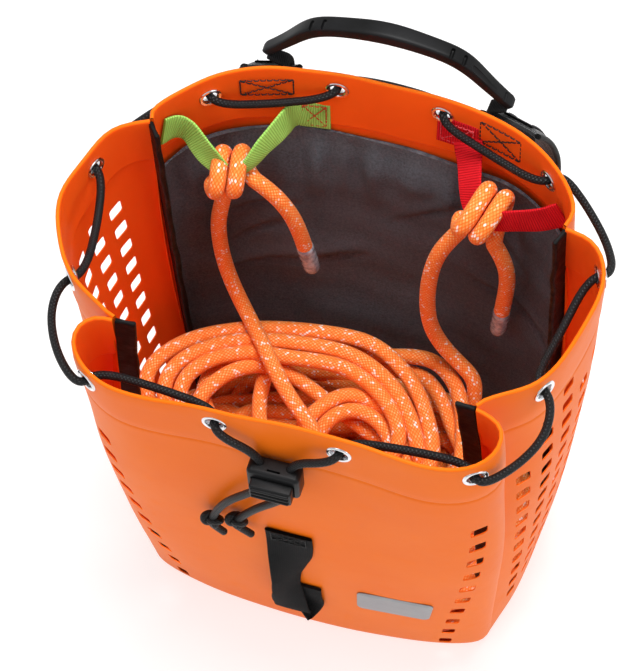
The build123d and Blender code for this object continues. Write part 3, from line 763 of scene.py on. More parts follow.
def hole_loop(u, w):
    """Outline of one punched hole: a rectangle with rounded corners."""
    loop = []
    for cx, cy, start in ((1, -1, -90), (1, 1, 0), (-1, 1, 90), (-1, -1, 180)):
        for a in (0, 30, 60, 90):
            angle = radians(start + a)
            loop.append((u + cx * (HOLE_WIDTH / 2 - HOLE_CORNER) + HOLE_CORNER * cos(angle),
                         w + cy * (HOLE_HEIGHT / 2 - HOLE_CORNER) + HOLE_CORNER * sin(angle)))
    return loop


def eyelet_loop(u, w):
    return [(u + EYELET_BARREL * cos(a), w + EYELET_BARREL * sin(a))
            for a in np.linspace(0, 2 * pi, 20, endpoint=False)]


def hole_places(name):
    """Share, level and outline function of each hole in a wall, the eyelets' last."""
    places = []
    if name.endswith("side_panel"):
        for column, (share, highest) in enumerate(SIDE_COLUMNS):
            level = highest - (column % 2) * HOLE_PITCH / 2
            while level > HOLE_LOWEST:
                places.append((share if name.startswith("right") else 1 - share, level, hole_loop))
                level -= HOLE_PITCH
    elif name == "front_panel":
        for row in range(FRONT_ROWS):
            level = max(FRONT_TOP_HOLE - row * FRONT_PITCH, HOLE_HEIGHT + 2)
            places += [(FRONT_COLUMN, level, hole_loop), (1 - FRONT_COLUMN, level, hole_loop)]
    return places + [(share, level, eyelet_loop) for owner, share, level, *_ in EYELETS if owner == name]


def eyelet_places():
    """Wall, share along it and outward frame of each eyelet, in order round the mouth."""
    spots = (("front_panel", 0.388, 15), ("front_panel", 0.148, 14),
             ("left_side_panel", 0.735, 15), ("left_side_panel", 0.245, 16),
             ("back_panel", 0.855, 16), ("back_panel", 0.605, 12),
             ("back_panel", 0.395, 12), ("back_panel", 0.145, 16),
             ("right_side_panel", 0.800, 15), ("right_side_panel", 0.265, 14),
             ("front_panel", 0.852, 14), ("front_panel", 0.612, 15))
    places = []
    for name, share, below in spots:
        side = SIDES[name]
        guess, _ = side.frame(share, RIM_LEVEL - below)
        level = float(rim_height(guess[1])) - below
        point, outward = side.frame(share, level)
        places.append((name, share, level, point, outward))
    return places


EYELETS = eyelet_places()
EYELET_BORE, EYELET_BARREL, EYELET_FLANGE = 4.5, 5.4, 7.6


def slack(x, y, z):
    """How far the cloth stands off its smooth shape: long soft folds, stronger near the mouth."""
    near_mouth = smoothstep(120, 330, z)
    folds = (np.sin(x * 0.041 + y * 0.063 + z * 0.011 + 0.7) * 0.55
             + np.sin(x * 0.083 - y * 0.057 + z * 0.023 + 2.1) * 0.35
             + np.sin(x * 0.019 + y * 0.031 - z * 0.047 + 4.0) * 0.5
             + np.sin(x * 0.13 + y * 0.11 + z * 0.031) * 0.16)
    return folds * (0.35 + 0.75 * near_mouth)


def sheet_rows(depth):
    """Heights of a wall's mesh rows: close together at the rim, the weld and the base."""
    weld = RIM_LEVEL - depth
    rows = [RIM_LEVEL - d for d in (0, 1.5, 4, 8, 13, 18, 23, 28, 33, 38, 42) if d < depth - 4]
    rows += [weld + d for d in (3, 1.8, 1.0, 0.4, -0.4, -1.0, -1.8, -3.2, -6)]
    rows += list(np.linspace(weld - 11, 16, int((weld - 27) / 5.5)))
    rows += [12, 9, 6.5, 4.2, 2.4, 1.0, 0.25, 0.0]
    return rows


def cut_sheet(length, rows, holes):
    """A wall laid flat, as points and triangles, with its holes left open."""
    columns = np.linspace(0, length, int(length / 5.0) + 1)
    points, edges = [], []
    centres = np.array([(u, w) for u, w, _ in holes]).reshape(-1, 2)
    for w in rows:
        for u in columns:
            on_edge = u in (columns[0], columns[-1]) or w in (rows[0], rows[-1])
            if len(centres) and not on_edge:
                gap = np.abs(centres - (u, w))
                if np.any((gap[:, 0] < HOLE_WIDTH / 2 + 1.6) & (gap[:, 1] < HOLE_HEIGHT / 2 + 1.6)):
                    continue
            points.append((u, w))
    for _, _, loop in holes:
        first = len(points)
        points += loop
        edges += [(first + i, first + (i + 1) % len(loop)) for i in range(len(loop))]
    flat, _, faces, *_ = delaunay_2d_cdt([Vector(p) for p in points], edges, [], 0, 1e-5)
    flat = np.array([tuple(p) for p in flat])
    tris = np.array(faces, int)
    centre = flat[tris].mean(1)
    keep = np.ones(len(tris), bool)
    for u, w, loop in holes:
        loop = np.array(loop)
        near = np.where((np.abs(centre[:, 0] - u) < 8) & (np.abs(centre[:, 1] - w) < 8))[0]
        nxt = np.roll(loop, -1, axis=0)
        for t in near:
            cross = ((nxt[:, 0] - loop[:, 0]) * (centre[t, 1] - loop[:, 1])
                     - (nxt[:, 1] - loop[:, 1]) * (centre[t, 0] - loop[:, 0]))
            if np.all(cross > -1e-9):
                keep[t] = False
    tris = tris[keep]
    used = np.unique(tris)
    renumber = -np.ones(len(flat), int)
    renumber[used] = np.arange(len(used))
    return flat[used], renumber[tris]


def wall_mesh(name):
    """A wall as a thick sheet with its punched holes, hem and welded line."""
    side = SIDES[name]
    length = side.length
    depth = HEM_DEPTH[name]
    holes = []
    for share, level, outline in hole_places(name):
        u = share * length
        w = level * RIM_LEVEL / rim_at(side, np.array([share]))[0]
        holes.append((u, w, outline(u, w)))
    flat, tris = cut_sheet(length, sheet_rows(depth), holes)
    share = flat[:, 0] / length
    rim = rim_at(side, share)
    level = flat[:, 1] / RIM_LEVEL * rim
    from_rim = RIM_LEVEL - flat[:, 1]
    smooth = side.at(share, level)
    loose = slack(*smooth.T) * smoothstep(0, 14, level)
    loose *= smoothstep(0, 0.03, share) * smoothstep(0, 0.03, 1 - share)
    for _, _, _, place, _ in EYELETS:
        loose *= smoothstep(4, 16, np.linalg.norm(smooth - place, axis=1))
    groove = 0.45 * np.exp(-((from_rim - depth) / 1.3) ** 2)
    puff = 0.5 * smoothstep(0, 8, from_rim) * smoothstep(0, 10, depth - from_rim)
    outer = side.at(share, level, loose - groove + puff)
    step_in = SKIN + (HEM - SKIN) * smoothstep(-0.8, 0.8, depth - from_rim)
    inner = side.at(share, level, loose - groove * 0.5 - step_in)
    count = len(flat)
    skin = np.concatenate([outer, inner])
    faces = [tuple(t) for t in tris] + [tuple(count + i for i in t[::-1]) for t in tris]
    directed = {}
    for a, b, c in tris:
        for edge in ((a, b), (b, c), (c, a)):
            directed[edge] = True
    rows_added = []
    extra = {}
    top = flat[:, 1] >= RIM_LEVEL - 1e-6

    def edge_rows(i):
        """Points that round the hem's fold, from the outside to the inside."""
        if i not in extra:
            mid = (outer[i] + inner[i]) / 2
            half = (outer[i] - inner[i]) / 2
            size = np.linalg.norm(half)
            first = count * 2 + len(rows_added)
            for a in (45, 90, 135):
                rows_added.append(mid + half * cos(radians(a)) + np.array([0, 0, size * sin(radians(a))]))
            extra[i] = [i, first, first + 1, first + 2, count + i]
        return extra[i]

    for a, b in directed:
        if (b, a) in directed:
            continue
        if top[a] and top[b]:
            ra, rb = edge_rows(a), edge_rows(b)
        else:
            ra, rb = [a, count + a], [b, count + b]
        for k in range(len(ra) - 1):
            faces.append((rb[k], ra[k], ra[k + 1], rb[k + 1]))
    points = np.concatenate([skin] + ([np.array(rows_added)] if rows_added else []))
    uv = np.zeros((len(points), 2))
    uv[:count] = flat
    uv[count:2 * count] = flat
    for i, row in extra.items():
        uv[row[1:4]] = flat[i]
    inside = np.zeros(len(points))
    inside[count:2 * count] = 1
    return points, faces, uv, inside


def build_walls():
    for name in OUTLINES:
        points, faces, uv, inside = wall_mesh(name)
        wall = make_object(name + "_cloth", points, faces, ORANGE, "orange_tarpaulin", replaces=[name],
                           uv=uv)
        # The inside mark picks out the inner faces for the painted bounce-light red.
        mark = wall.data.attributes.new("inside", "FLOAT", "POINT")
        mark.data.foreach_set("value", inside.astype(np.float32))
    ring = []
    for name in ("front_panel", "right_side_panel", "back_panel", "left_side_panel"):
        ring.append(SIDES[name].at(np.linspace(0, 1, 60)[:-1], 0.0)[:, :2])
    ring = np.concatenate(ring)
    layers = [(0.995, 0.0), (1.0, 0.4), (1.0, 1.1), (0.995, 1.5)]
    rings = [np.concatenate([ring * share, np.full((len(ring), 1), z)], 1) for share, z in layers]
    points, faces, uv = lofted(rings)
    make_object("base_cloth", points, faces, ORANGE, "orange_tarpaulin", replaces=["base_panel"], uv=uv)


# ---------------------------------------------------------------- stowed rope
ROPE = 10.2
ROPE_STEP = 6.8
ROPE_SEED = 5
TURNS = 50
TURN_POINTS = 24
GRAVITY_DROP = 0.16
# The turns that show on top of the pile, each from the right round the back to the left, the topmost last.
TOP_ARCS = (
    ((75, 10, 130), (66, 23, 131), (55, 38, 132), (41, 50, 130), (20, 53, 124), (-30, 50, 122),
     (-90, 30, 124)),
    ((78, 8, 138), (69, 36, 141), (60, 48, 142), (46, 57, 142), (28, 58, 138), (0, 56, 128),
     (-50, 50, 126)),
    ((38, -8, 134), (30, 3, 136), (16, 11, 137), (2, 11, 137), (-8, 2, 136), (-14, -12, 132)),
    ((46, -10, 133), (40, 2, 136), (28, 14, 137), (12, 21, 137), (-3, 21, 137), (-16, 8, 136),
     (-26, -10, 132)),
    ((44, -14, 124), (10, 8, 122), (-30, 24, 128), (-60, 27, 139), (-77, 15, 144), (-88, 0, 144),
     (-94, -12, 142)),
    ((42, -7, 146), (30, 13, 147), (14, 26, 147), (-6, 34, 147), (-30, 34, 146), (-55, 31, 146),
     (-76, 28, 146), (-93, 18, 146), (-104, 4, 145), (-107, -12, 143)),
    ((53, -8, 145), (43, 9, 146), (31, 24, 147), (13, 37, 147), (-9, 45, 147), (-32, 45, 146),
     (-56, 42, 146), (-80, 35, 146), (-100, 24, 145), (-114, 10, 144), (-118, -10, 142)),
    ((63, -8, 144), (54, 12, 145), (40, 33, 146), (25, 46, 146), (6, 56, 146), (-18, 57, 146),
     (-45, 54, 145), (-72, 48, 144), (-98, 38, 143), (-120, 22, 142), (-131, 2, 141), (-131, -12, 140)),
)
# Given ends of the rope, listed point by point, from each knot down to the pile and, on the left, across it.
LEAD_LEFT = ((-90, 65, 277), (-93, 65, 262), (-97, 66, 240), (-98, 66, 214), (-96, 65, 190),
             (-89, 60, 168), (-79, 52, 154), (-64, 34, 156), (-48, 14, 158), (-32, -3, 158),
             (-14, -18, 157), (4, -32, 154), (20, -47, 148), (30, -62, 136))
LEAD_RIGHT = ((58, 66, 292), (49, 62, 276), (43, 59, 252), (41, 57, 226), (42, 56, 200),
              (47, 56, 177), (58, 54, 160), (72, 50, 149), (86, 40, 145))


def inside_radius():
    """How far a rope's centreline may lie from the middle of the bag, by height and angle."""
    angles = np.radians(np.arange(0, 360, 2))
    table = []
    for level in np.arange(0, 201, 25):
        run = []
        for name in ("front_panel", "right_side_panel", "back_panel", "left_side_panel"):
            gap = WALL + ROPE / 2 + (10 if name == "back_panel" else 1)
            share = np.linspace(0.1, 0.9, 40)
            point = SIDES[name].at(share, float(max(level, 8)), -gap)
            run.append(point[:, :2])
        run = np.concatenate(run)
        turn = np.arctan2(run[:, 1], run[:, 0])
        order = np.argsort(turn)
        size = np.linalg.norm(run, axis=1)[order]
        turn = turn[order]
        turn = np.concatenate([turn - 2 * pi, turn, turn + 2 * pi])
        table.append(np.interp(angles, turn, np.tile(size, 3)))
    return np.array(table)


INSIDE = inside_radius()


def kept_inside(points, ceiling=400.0):
    """Push points back inside the walls, up off the base and down under a ceiling."""
    level = np.clip(points[:, 2] / 25, 0, len(INSIDE) - 1.001)
    angle = (np.degrees(np.arctan2(points[:, 1], points[:, 0])) % 360) / 2
    i, j = level.astype(int), angle.astype(int) % 180
    f, g = level - i, angle - np.floor(angle)
    jn = (j + 1) % 180
    limit = ((INSIDE[i, j] * (1 - g) + INSIDE[i, jn] * g) * (1 - f)
             + (INSIDE[i + 1, j] * (1 - g) + INSIDE[i + 1, jn] * g) * f)
    # The walls turn in under the bag near its base.
    limit = limit - 8 * smoothstep(16, 4, points[:, 2])
    size = np.linalg.norm(points[:, :2], axis=1)
    shrink = np.minimum(1, limit / np.maximum(size, 1e-6))
    points[:, :2] *= shrink[:, None]
    points[:, 2] = np.clip(points[:, 2], 2.2 + ROPE / 2, ceiling)
    return points


def loose_turns(draw):
    """Flaked turns of rope from the bottom of the bag up to the ones that show."""
    wander = draw.normal(size=(TURNS * 2 + 8, 4))
    shapes = []
    for mood in wander:
        wide = 110 + 17 * np.clip(mood[0], -2.2, 1.2)
        deep = 53 + 9 * np.clip(mood[1], -2.0, 1.2)
        shapes.append((np.clip(mood[2], -1.5, 1.5) * 12, np.clip(mood[3], -1.5, 1.5) * 7 - 3, wide, deep))
    shapes = np.array(shapes)
    path = []
    for n in range(TURNS * TURN_POINTS):
        turn = n / TURN_POINTS
        i = int(turn * 2)
        f = turn * 2 - i
        f = f * f * (3 - 2 * f)
        x, y, wide, deep = shapes[i] * (1 - f) + shapes[i + 1] * f
        a = 2 * pi * turn
        path.append((x + wide * cos(a), y + deep * sin(a), 8 + 116 * turn / TURNS))
    return resampled(np.array(path), ROPE_STEP)


def top_turns(start, end):
    """The turns that show, joined along the front of the bag, with a flag on the laid parts."""
    points = [start]
    for n, arc in enumerate(TOP_ARCS):
        points += list(arc)
        deep = 62 - 7.5 * (n % 4)
        level = 138 - 7 * (n % 2)
        left = arc[-1]
        far = TOP_ARCS[n + 1][0] if n + 1 < len(TOP_ARCS) else (92, -10, 126)
        points += [(left[0] * 0.95 + 4, -32, level), (left[0] * 0.6, -deep * 0.9, level),
                   ((left[0] + far[0]) / 2, -deep, level),
                   (far[0] * 0.7, -deep * 0.82, level), (far[0] * 0.98 + 4, -32, level)]
    points += [(98, 4, 126), (96, 26, 134), end]
    line = resampled(spline(points, 3000), ROPE_STEP)[1:-1]
    return line, (line[:, 1] > -16) & (line[:, 0] < 84)


def settled_rope():
    """Centreline of the whole rope after the turns have dropped and found their places."""
    left = resampled(spline(LEAD_LEFT, 400), ROPE_STEP)
    right = resampled(spline(LEAD_RIGHT[::-1], 400), ROPE_STEP)
    turns = loose_turns(np.random.default_rng(ROPE_SEED))
    top, laid = top_turns(turns[-1], right[0])
    down = spline([left[-1], left[-1] + (6, -9, -22), (34, -74, 70), (30, -70, 24), (50, -58, 12),
                   turns[0]], 400)
    down = resampled(down, ROPE_STEP)[1:-1]
    points = np.concatenate([left, down, turns, top, right])
    held = np.zeros(len(points), bool)
    loose_left = 9
    held[:len(left) - loose_left] = True
    held[len(points) - len(right) + 2:] = True
    pulled = np.zeros(len(points), bool)
    pulled[len(points) - len(right) - len(top):len(points) - len(right)] = laid
    under = np.zeros(len(points), bool)
    under[len(left) + len(down):len(points) - len(right) - len(top)] = True
    return relaxed(points, held, pulled, under)


def relaxed(points, held, pulled, under, steps=240):
    """Drop the rope under gravity; turns push each other apart and keep a gentle bend."""
    count = len(points)
    free = (~held).astype(float)[:, None]
    crossing = int(np.argmax(~held)) + 4
    last = points.copy()
    laid_at = points[pulled].copy()
    # The turns underneath may not rise past the ones laid over them.
    ceiling = np.where(under, 134.0, 170.0)
    rest = np.full(count - 1, ROPE_STEP)
    pairs = None
    for step in range(steps):
        calm = 0.90 if step < steps * 0.7 else 0.6
        moved = (points - last) * calm
        size = np.linalg.norm(moved, axis=1, keepdims=True)
        moved *= np.minimum(1, 2.5 / np.maximum(size, 1e-9))
        last = points.copy()
        points = points + free * moved
        points[:, 2] -= free[:, 0] * GRAVITY_DROP
        late = step > steps * 0.6
        if step % 5 == 0:
            pairs = close_pairs(points)
            # The rope's crossing end is laid over the pile once that has dropped.
            pairs = pairs if late else pairs[pairs[:, 0] >= crossing]
        for _ in range(6):
            for first in (0, 1):
                a = np.arange(first, count - 1, 2)
                keep_apart(points, a, a + 1, rest[a], free, 1.0, True)
            for first in range(4):
                a = np.arange(first, count - 4, 4)
                keep_apart(points, a, a + 4, ROPE_STEP * 4 * 0.955, free, 0.4, False)
            push_apart(points, pairs, free)
            points[pulled] += (laid_at - points[pulled]) * 0.22
            inside = kept_inside(points.copy(), ceiling)
            points[crossing:] += ((inside - points) * free)[crossing:]
            if not late:
                continue
            inside = kept_inside(points.copy())
            points[:crossing] += ((inside - points) * free)[:crossing]
    return points


def keep_apart(points, a, b, length, free, strength, both_ways):
    gap = points[b] - points[a]
    size = np.linalg.norm(gap, axis=1)
    short = (size - length) if both_ways else np.minimum(size - length, 0)
    share = free[a, 0] + free[b, 0]
    move = gap * (strength * short / np.maximum(size * np.maximum(share, 1e-6), 1e-9))[:, None]
    points[a] += move * free[a]
    points[b] -= move * free[b]


def close_pairs(points):
    tree = kdtree.KDTree(len(points))
    for i, p in enumerate(points):
        tree.insert(p, i)
    tree.balance()
    found = []
    for i, p in enumerate(points):
        for _, j, _ in tree.find_range(p, ROPE * 1.35):
            if j > i + 3:
                found.append((i, j))
    return np.array(found)


def push_apart(points, pairs, free):
    a, b = pairs[:, 0], pairs[:, 1]
    gap = points[b] - points[a]
    size = np.linalg.norm(gap, axis=1)
    deep = np.maximum(ROPE * 1.01 - size, 0)
    hit = deep > 0
    a, b, gap, size, deep = a[hit], b[hit], gap[hit], size[hit], deep[hit]
    share = np.maximum(free[a, 0] + free[b, 0], 1e-6)
    move = gap * (0.8 * deep / np.maximum(size, 1e-6) / share)[:, None]
    total = np.zeros_like(points)
    for axis in range(3):
        pull = move[:, axis]
        total[:, axis] = np.bincount(b, pull, len(points)) - np.bincount(a, pull, len(points))
    points += np.clip(total, -1.5, 1.5) * free


# ---------------------------------------------------------------- knots
KNOT_LEFT = (-85.0, 63.5, 303.0)
KNOT_RIGHT = (72.0, 68.0, 315.0)
TAIL_LEFT = ((-70, 66, 296), (-60, 66, 287), (-51, 67, 270), (-45, 68, 249), (-42, 69, 226))
TAIL_RIGHT = ((80, 66, 286), (86, 66, 272), (89, 67, 250), (88, 68, 228), (86, 69, 204))
SLEEVE_LENGTH = 26.0
# Directions that the knots are laid out by: to the right, up and towards the mouth's front.
SEEN_RIGHT = np.array([0.958, 0.285, -0.032])
SEEN_UP = np.array([-0.233, 0.838, 0.493])
SEEN_FRONT = np.array([0.168, -0.465, 0.869])


def nurbs_line(points, detail=6):
    """The smooth line of a spline whose control points are given in millimetres."""
    curve = bpy.data.curves.new("route", "CURVE")
    curve.dimensions = "3D"
    route = curve.splines.new("NURBS")
    route.points.add(len(points) - 1)
    flat = np.concatenate([np.asarray(points, float) * MM, np.ones((len(points), 1))], 1)
    route.points.foreach_set("co", flat.ravel())
    route.order_u = 3
    route.use_endpoint_u = True
    route.resolution_u = detail
    obj = bpy.data.objects.new("route", curve)
    bpy.context.collection.objects.link(obj)
    mesh = bpy.data.meshes.new_from_object(obj.evaluated_get(bpy.context.evaluated_depsgraph_get()))
    line = np.array([v.co for v in mesh.vertices]) / MM
    bpy.data.objects.remove(obj)
    bpy.data.curves.remove(curve)
    bpy.data.meshes.remove(mesh)
    return line


def cord_piece(name, line, diameter, sides, material, slot_name, nodes, step=2.0):
    """A round cord along a line, as a mesh tube, and the path that it follows in metres."""
    path = resampled(line, step)
    points, faces, uv = round_tube(path, diameter / 2, sides)
    obj = make_object(name, points, faces, material, slot_name, replaces=nodes, uv=uv, sharp=80)
    return obj, path * MM


def knot_line(centre, lean, tall, deep, pitch, lead, tail):
    """Wraps round an axis, joined smoothly to the rope's lead and to its tail."""
    band = SEEN_UP * cos(lean) + SEEN_RIGHT * sin(lean)
    axis = SEEN_RIGHT * cos(lean) - SEEN_UP * sin(lean)
    first, last = -50, 620
    wraps = []
    for a in np.arange(first, last + 1, 33.5):
        share = (a - first) / (last - first) - 0.5
        turn = radians(a)
        wraps.append(np.array(centre) + axis * (share * pitch * (last - first) / 360)
                     - band * tall * cos(turn) + SEEN_FRONT * deep * sin(turn))
    line = spline([lead[1], lead[0]] + wraps + [tail[0], tail[1]], 500)
    first_point = np.argmin(np.linalg.norm(line[:150] - np.array(lead[0]), axis=1))
    last_point = 350 + np.argmin(np.linalg.norm(line[350:] - np.array(tail[0]), axis=1))
    return line[first_point:last_point + 1]


def build_rope():
    whole = settled_rope()
    control = np.concatenate([whole[:1], whole[1:-1:2], whole[-1:]])
    line = nurbs_line(control, 4)
    rope, path = cord_piece("floating_rope", line, ROPE, 14, ROPE_LOOK, "orange_rope",
                            ["rope_pile", "rope_lead_left", "rope_lead_right"], 3.0)
    knots = {
        "left": knot_line(KNOT_LEFT, radians(-2), 11.6, 8.5, 11.6, LEAD_LEFT, TAIL_LEFT),
        "right": knot_line(KNOT_RIGHT, radians(25), 14.0, 8.5, 11.4, LEAD_RIGHT, TAIL_RIGHT),
    }
    for word, knot in knots.items():
        tube = round_tube(resampled(knot, 1.2), ROPE / 2 + 0.1, 22)
        make_object(word + "_knot", *tube[:2], ROPE_LOOK, "orange_rope",
                                     replaces=["rope_knot_" + word], uv=tube[2], sharp=80)
    for word, tail in (("left", TAIL_LEFT), ("right", TAIL_RIGHT)):
        line = nurbs_line(tail, 12)
        end = unit(line[-1] - line[-4])
        covered = np.concatenate([line, line[-1] + end * np.linspace(4, SLEEVE_LENGTH - 2, 6)[:, None]])
        piece, path = cord_piece("rope_end_" + word, covered, ROPE, 20, ROPE_LOOK, "orange_rope",
                                 ["rope_tail_" + word], 1.5)
        along = np.linspace(0, SLEEVE_LENGTH - 1.0, 16)
        radius = (ROPE / 2 + 0.45 + 0.12 * np.sin(along * 0.9)
                  - 0.5 * smoothstep(SLEEVE_LENGTH - 6, SLEEVE_LENGTH - 1, along))
        tube = round_tube(line[-1] + end * along[:, None], radius, 28)
        sleeve = make_object("sleeve_" + word, *tube[:2], SLEEVE, "clear_sleeve",
                             replaces=["rope_sleeve_" + word], uv=tube[2], sharp=60)


# ---------------------------------------------------------------- drawcord, eyelets and cord lock
CORD = 5.0
CORD_STANDOFF = 6.4
LOCK_X, LOCK_Y, LOCK_Z = 31.0, 12.0, 22.0
LOCK_CENTRE = (0.0, -120.0, 292.0)
LOCK_CORD_Y, LOCK_HOLE_X, LOCK_HOLE = 1.4, 7.0, 3.3
BUTTON_X, BUTTON_Z, BUTTON_PROUD = 25.0, 13.0, 6.0
STEM_LENGTH = 4.4


def drawcord_points():
    """Route of the drawcord, from the left tail round the mouth to the right tail."""
    out = [tuple(p + n * CORD_STANDOFF) for *_, p, n in EYELETS]
    into = [tuple(p - n * (CORD_STANDOFF + WALL)) for *_, p, n in EYELETS]
    _, y, z = LOCK_CENTRE
    y += LOCK_CORD_Y
    below = z - LOCK_Z / 2
    above = z + LOCK_Z / 2
    route = [(-47, -113, 196), (-43, -114, 212), (-33, -116, 235), (-18, -118, 257),
             (-LOCK_HOLE_X - 1, y, below - 8), (-LOCK_HOLE_X, y + 0.2, above + 7)]
    # Each run after an eyelet, alternately outside and inside the wall.
    slack_runs = {
        1: [(-74, -104, 334)],
        2: [(-135, -98, 330), (-148, -74, 331)],
        3: [(-141, -10, 330)],
        4: [(-148, 52, 334), (-129, 76, 338)],
        5: [(-70, 94, 337)],
        6: [(0, 121, 346.5)],
        7: [(70, 94, 337)],
        8: [(130, 76, 339), (149, 55, 334)],
        9: [(136, -10, 330)],
        10: [(145, -73, 331), (134, -95, 329)],
        11: [(74, -104, 334)],
    }
    route += [out[0], into[0]]
    for i in range(1, 12):
        route += slack_runs[i]
        route += [out[i], into[i]] if i % 2 == 0 else [into[i], out[i]]
    route += [(LOCK_HOLE_X, y + 0.2, above + 7), (LOCK_HOLE_X + 1, y, below - 8),
              (0, -118, 256), (-14, -116, 236), (-25, -114, 216), (-31, -113, 203)]
    return route


def overhand_knot(centre, along, size):
    """A tied overhand knot: a small trefoil drawn up tight about the cord's own line."""
    along = unit(along)
    side = unit(np.cross(along, (0.1, 1, 0.2)))
    front = np.cross(along, side)
    line = []
    for a in np.linspace(0, 2 * pi, 70):
        reach = size * (2.0 + cos(3 * a)) / 3.0
        line.append(np.asarray(centre) + along * reach * cos(2 * a) * 0.75 + side * reach * sin(2 * a)
                    + front * size * 0.42 * sin(3 * a))
    return np.array(line)


def build_drawcord():
    route = drawcord_points()
    line = nurbs_line(route, 14)
    cord, path = cord_piece("drawcord_line", line, CORD, 14, CORD_LOOK, "black_cord", ["drawcord"], 1.5)
    parts = []
    for point, before, side in ((route[0], route[1], -1), (route[-1], route[-2], 1)):
        way = unit(np.array(point, float) - before)
        knot = overhand_knot(np.array(point) + way * 1.0, way, 5.2)
        parts.append(round_tube(knot, CORD / 2, 14, dome=False))
        tip = np.array(point) + np.array([6 + side, 3, -22.0])
        bend = spline([point, np.array(point) + way * 5, (np.array(point) + way * 8 + tip) / 2, tip], 24)
        parts.append(round_tube(bend, CORD / 2 - 0.1, 14))
    points, faces, uv = joined(parts)
    knots = make_object("drawcord_knots", points, faces, CORD_LOOK, "black_cord",
                        replaces=["drawcord_end_knots"], uv=uv, sharp=80)


def build_eyelets():
    flange, washer = [], []
    rim = EYELET_FLANGE
    bore = EYELET_BORE
    face = [(bore, -1.9)]
    for a in np.linspace(180, 0, 9):
        middle = (rim + bore + 0.6) / 2
        face.append((middle + (rim - bore - 0.6) / 2 * cos(radians(a)), 0.15 + 1.25 * sin(radians(a))))
    face += [(rim - 0.5, -0.35), (EYELET_BARREL, -0.3), (EYELET_BARREL, -1.9)]
    plate = [(bore + 0.2, -3.2), (bore + 0.7, -3.75), (rim - 1.0, -3.75), (rim - 0.5, -3.3),
             (rim - 0.6, -2.6), (EYELET_BARREL - 0.3, -2.6)]
    for *_, point, outward in EYELETS:
        flange.append(lathed(face + [face[0]], point, outward))
        washer.append(lathed(plate + [plate[0]], point, outward))
    for name, parts in (("eyelets", flange), ("eyelet_washers", washer)):
        points, faces, uv = joined(parts)
        make_object(name + "_metal", points, faces, EYELET_METAL, "eyelet_metal", replaces=[name], uv=uv,
                    sharp=40)


def apply_boolean(obj, cutters):
    for cutter in cutters:
        cut = obj.modifiers.new("cut", "BOOLEAN")
        cut.object = cutter
        cut.operation = "DIFFERENCE"
        cut.solver = "EXACT"
    graph = bpy.context.evaluated_depsgraph_get()
    mesh = bpy.data.meshes.new_from_object(obj.evaluated_get(graph))
    obj.modifiers.clear()
    old = obj.data
    obj.data = mesh
    bpy.data.meshes.remove(old)
    for cutter in cutters:
        bpy.data.objects.remove(cutter)
    mesh.polygons.foreach_set("use_smooth", np.ones(len(mesh.polygons), bool))
    mesh.set_sharp_from_angle(angle=radians(35))


def cutter_object(points, faces):
    mesh = bpy.data.meshes.new("cutter")
    mesh.from_pydata((np.asarray(points) * MM).tolist(), [], [tuple(f) for f in faces])
    obj = bpy.data.objects.new("cutter", mesh)
    bpy.context.collection.objects.link(obj)
    return obj


def build_cord_lock():
    cx, cy, cz = LOCK_CENTRE
    front = cy - LOCK_Y / 2
    low = cz - 2.0
    points, faces, _ = rounded_box((LOCK_X, LOCK_Y, LOCK_Z), 2.6, LOCK_CENTRE, 5)
    # The sides swell a little at mid height.
    tall = (points[:, 2] - cz) / (LOCK_Z / 2)
    points[:, 0] *= 1 + 0.035 * (1 - tall**2)
    body = make_object("cord_lock_case", points, faces, PLASTIC, "black_plastic",
                       replaces=["cord_lock_body"], sharp=35)
    cavity = rounded_box((BUTTON_X + 1.0, LOCK_Y, BUTTON_Z + 1.0), 1.0,
                         (cx, front + LOCK_Y / 2 - 1.6 - 0.2, low), 2)
    cutters = [cutter_object(*cavity[:2])]
    for side in (-1, 1):
        y = cy + LOCK_CORD_Y
        hole = round_tube(np.array([(side * LOCK_HOLE_X, y, cz - 16), (side * LOCK_HOLE_X, y, cz),
                                    (side * LOCK_HOLE_X, y, cz + 16)]), LOCK_HOLE, 24, dome=False)
        cutters.append(cutter_object(*hole[:2]))
    dimple = round_tube(np.array([(0, cy + 1, cz + 9), (0, cy + 1, cz + 12), (0, cy + 1, cz + 16)]), 1.7,
                        16, dome=False)
    cutters.append(cutter_object(*dimple[:2]))
    slit = rounded_box((8, 1.4, 6), 0.6, (0, cy - 2.6, cz + 11.5), 2)
    cutters.append(cutter_object(*slit[:2]))
    apply_boolean(body, cutters)
    parts = [rounded_box((BUTTON_X, BUTTON_PROUD + 1.0, BUTTON_Z), 1.3,
                         (cx, front - BUTTON_PROUD / 2 + 0.3, low), 4)]
    for rib in (-3.9, 0.0, 3.9):
        parts.append(rounded_box((BUTTON_X - 2.4, 2.2, 2.0), 0.8,
                                 (cx, front - BUTTON_PROUD - 0.25, rib + low), 3))
    parts.append(rounded_box((7, STEM_LENGTH, BUTTON_Z - 3), 0.5, (cx, front + STEM_LENGTH / 2, low), 2))
    points, faces, _ = joined(parts)
    make_object("cord_lock_push", points, faces, PLASTIC, "black_plastic", body=BUTTON,
                replaces=["cord_lock_button"], sharp=40)


# ---------------------------------------------------------------- stitches
def stitches(line, outward, pitch=3.6, length=2.9, radius=0.42, sunk=0.15):
    """Short thread stitches along a line on a surface whose outward direction is given."""
    line = resampled(np.asarray(line, float), pitch)
    outward = unit(outward)
    parts = []
    for a, b in zip(line, line[1:]):
        way = unit(b - a)
        middle = (a + b) / 2
        half = way * length / 2
        rise = outward * (radius - sunk)
        dip = outward * (radius + sunk + 0.1)
        arch = [middle - half + rise - dip, middle - half * 0.72 + rise, middle + half * 0.72 + rise,
                middle + half + rise - dip]
        parts.append(round_tube(np.array(arch), radius, 6))
    return joined(parts)


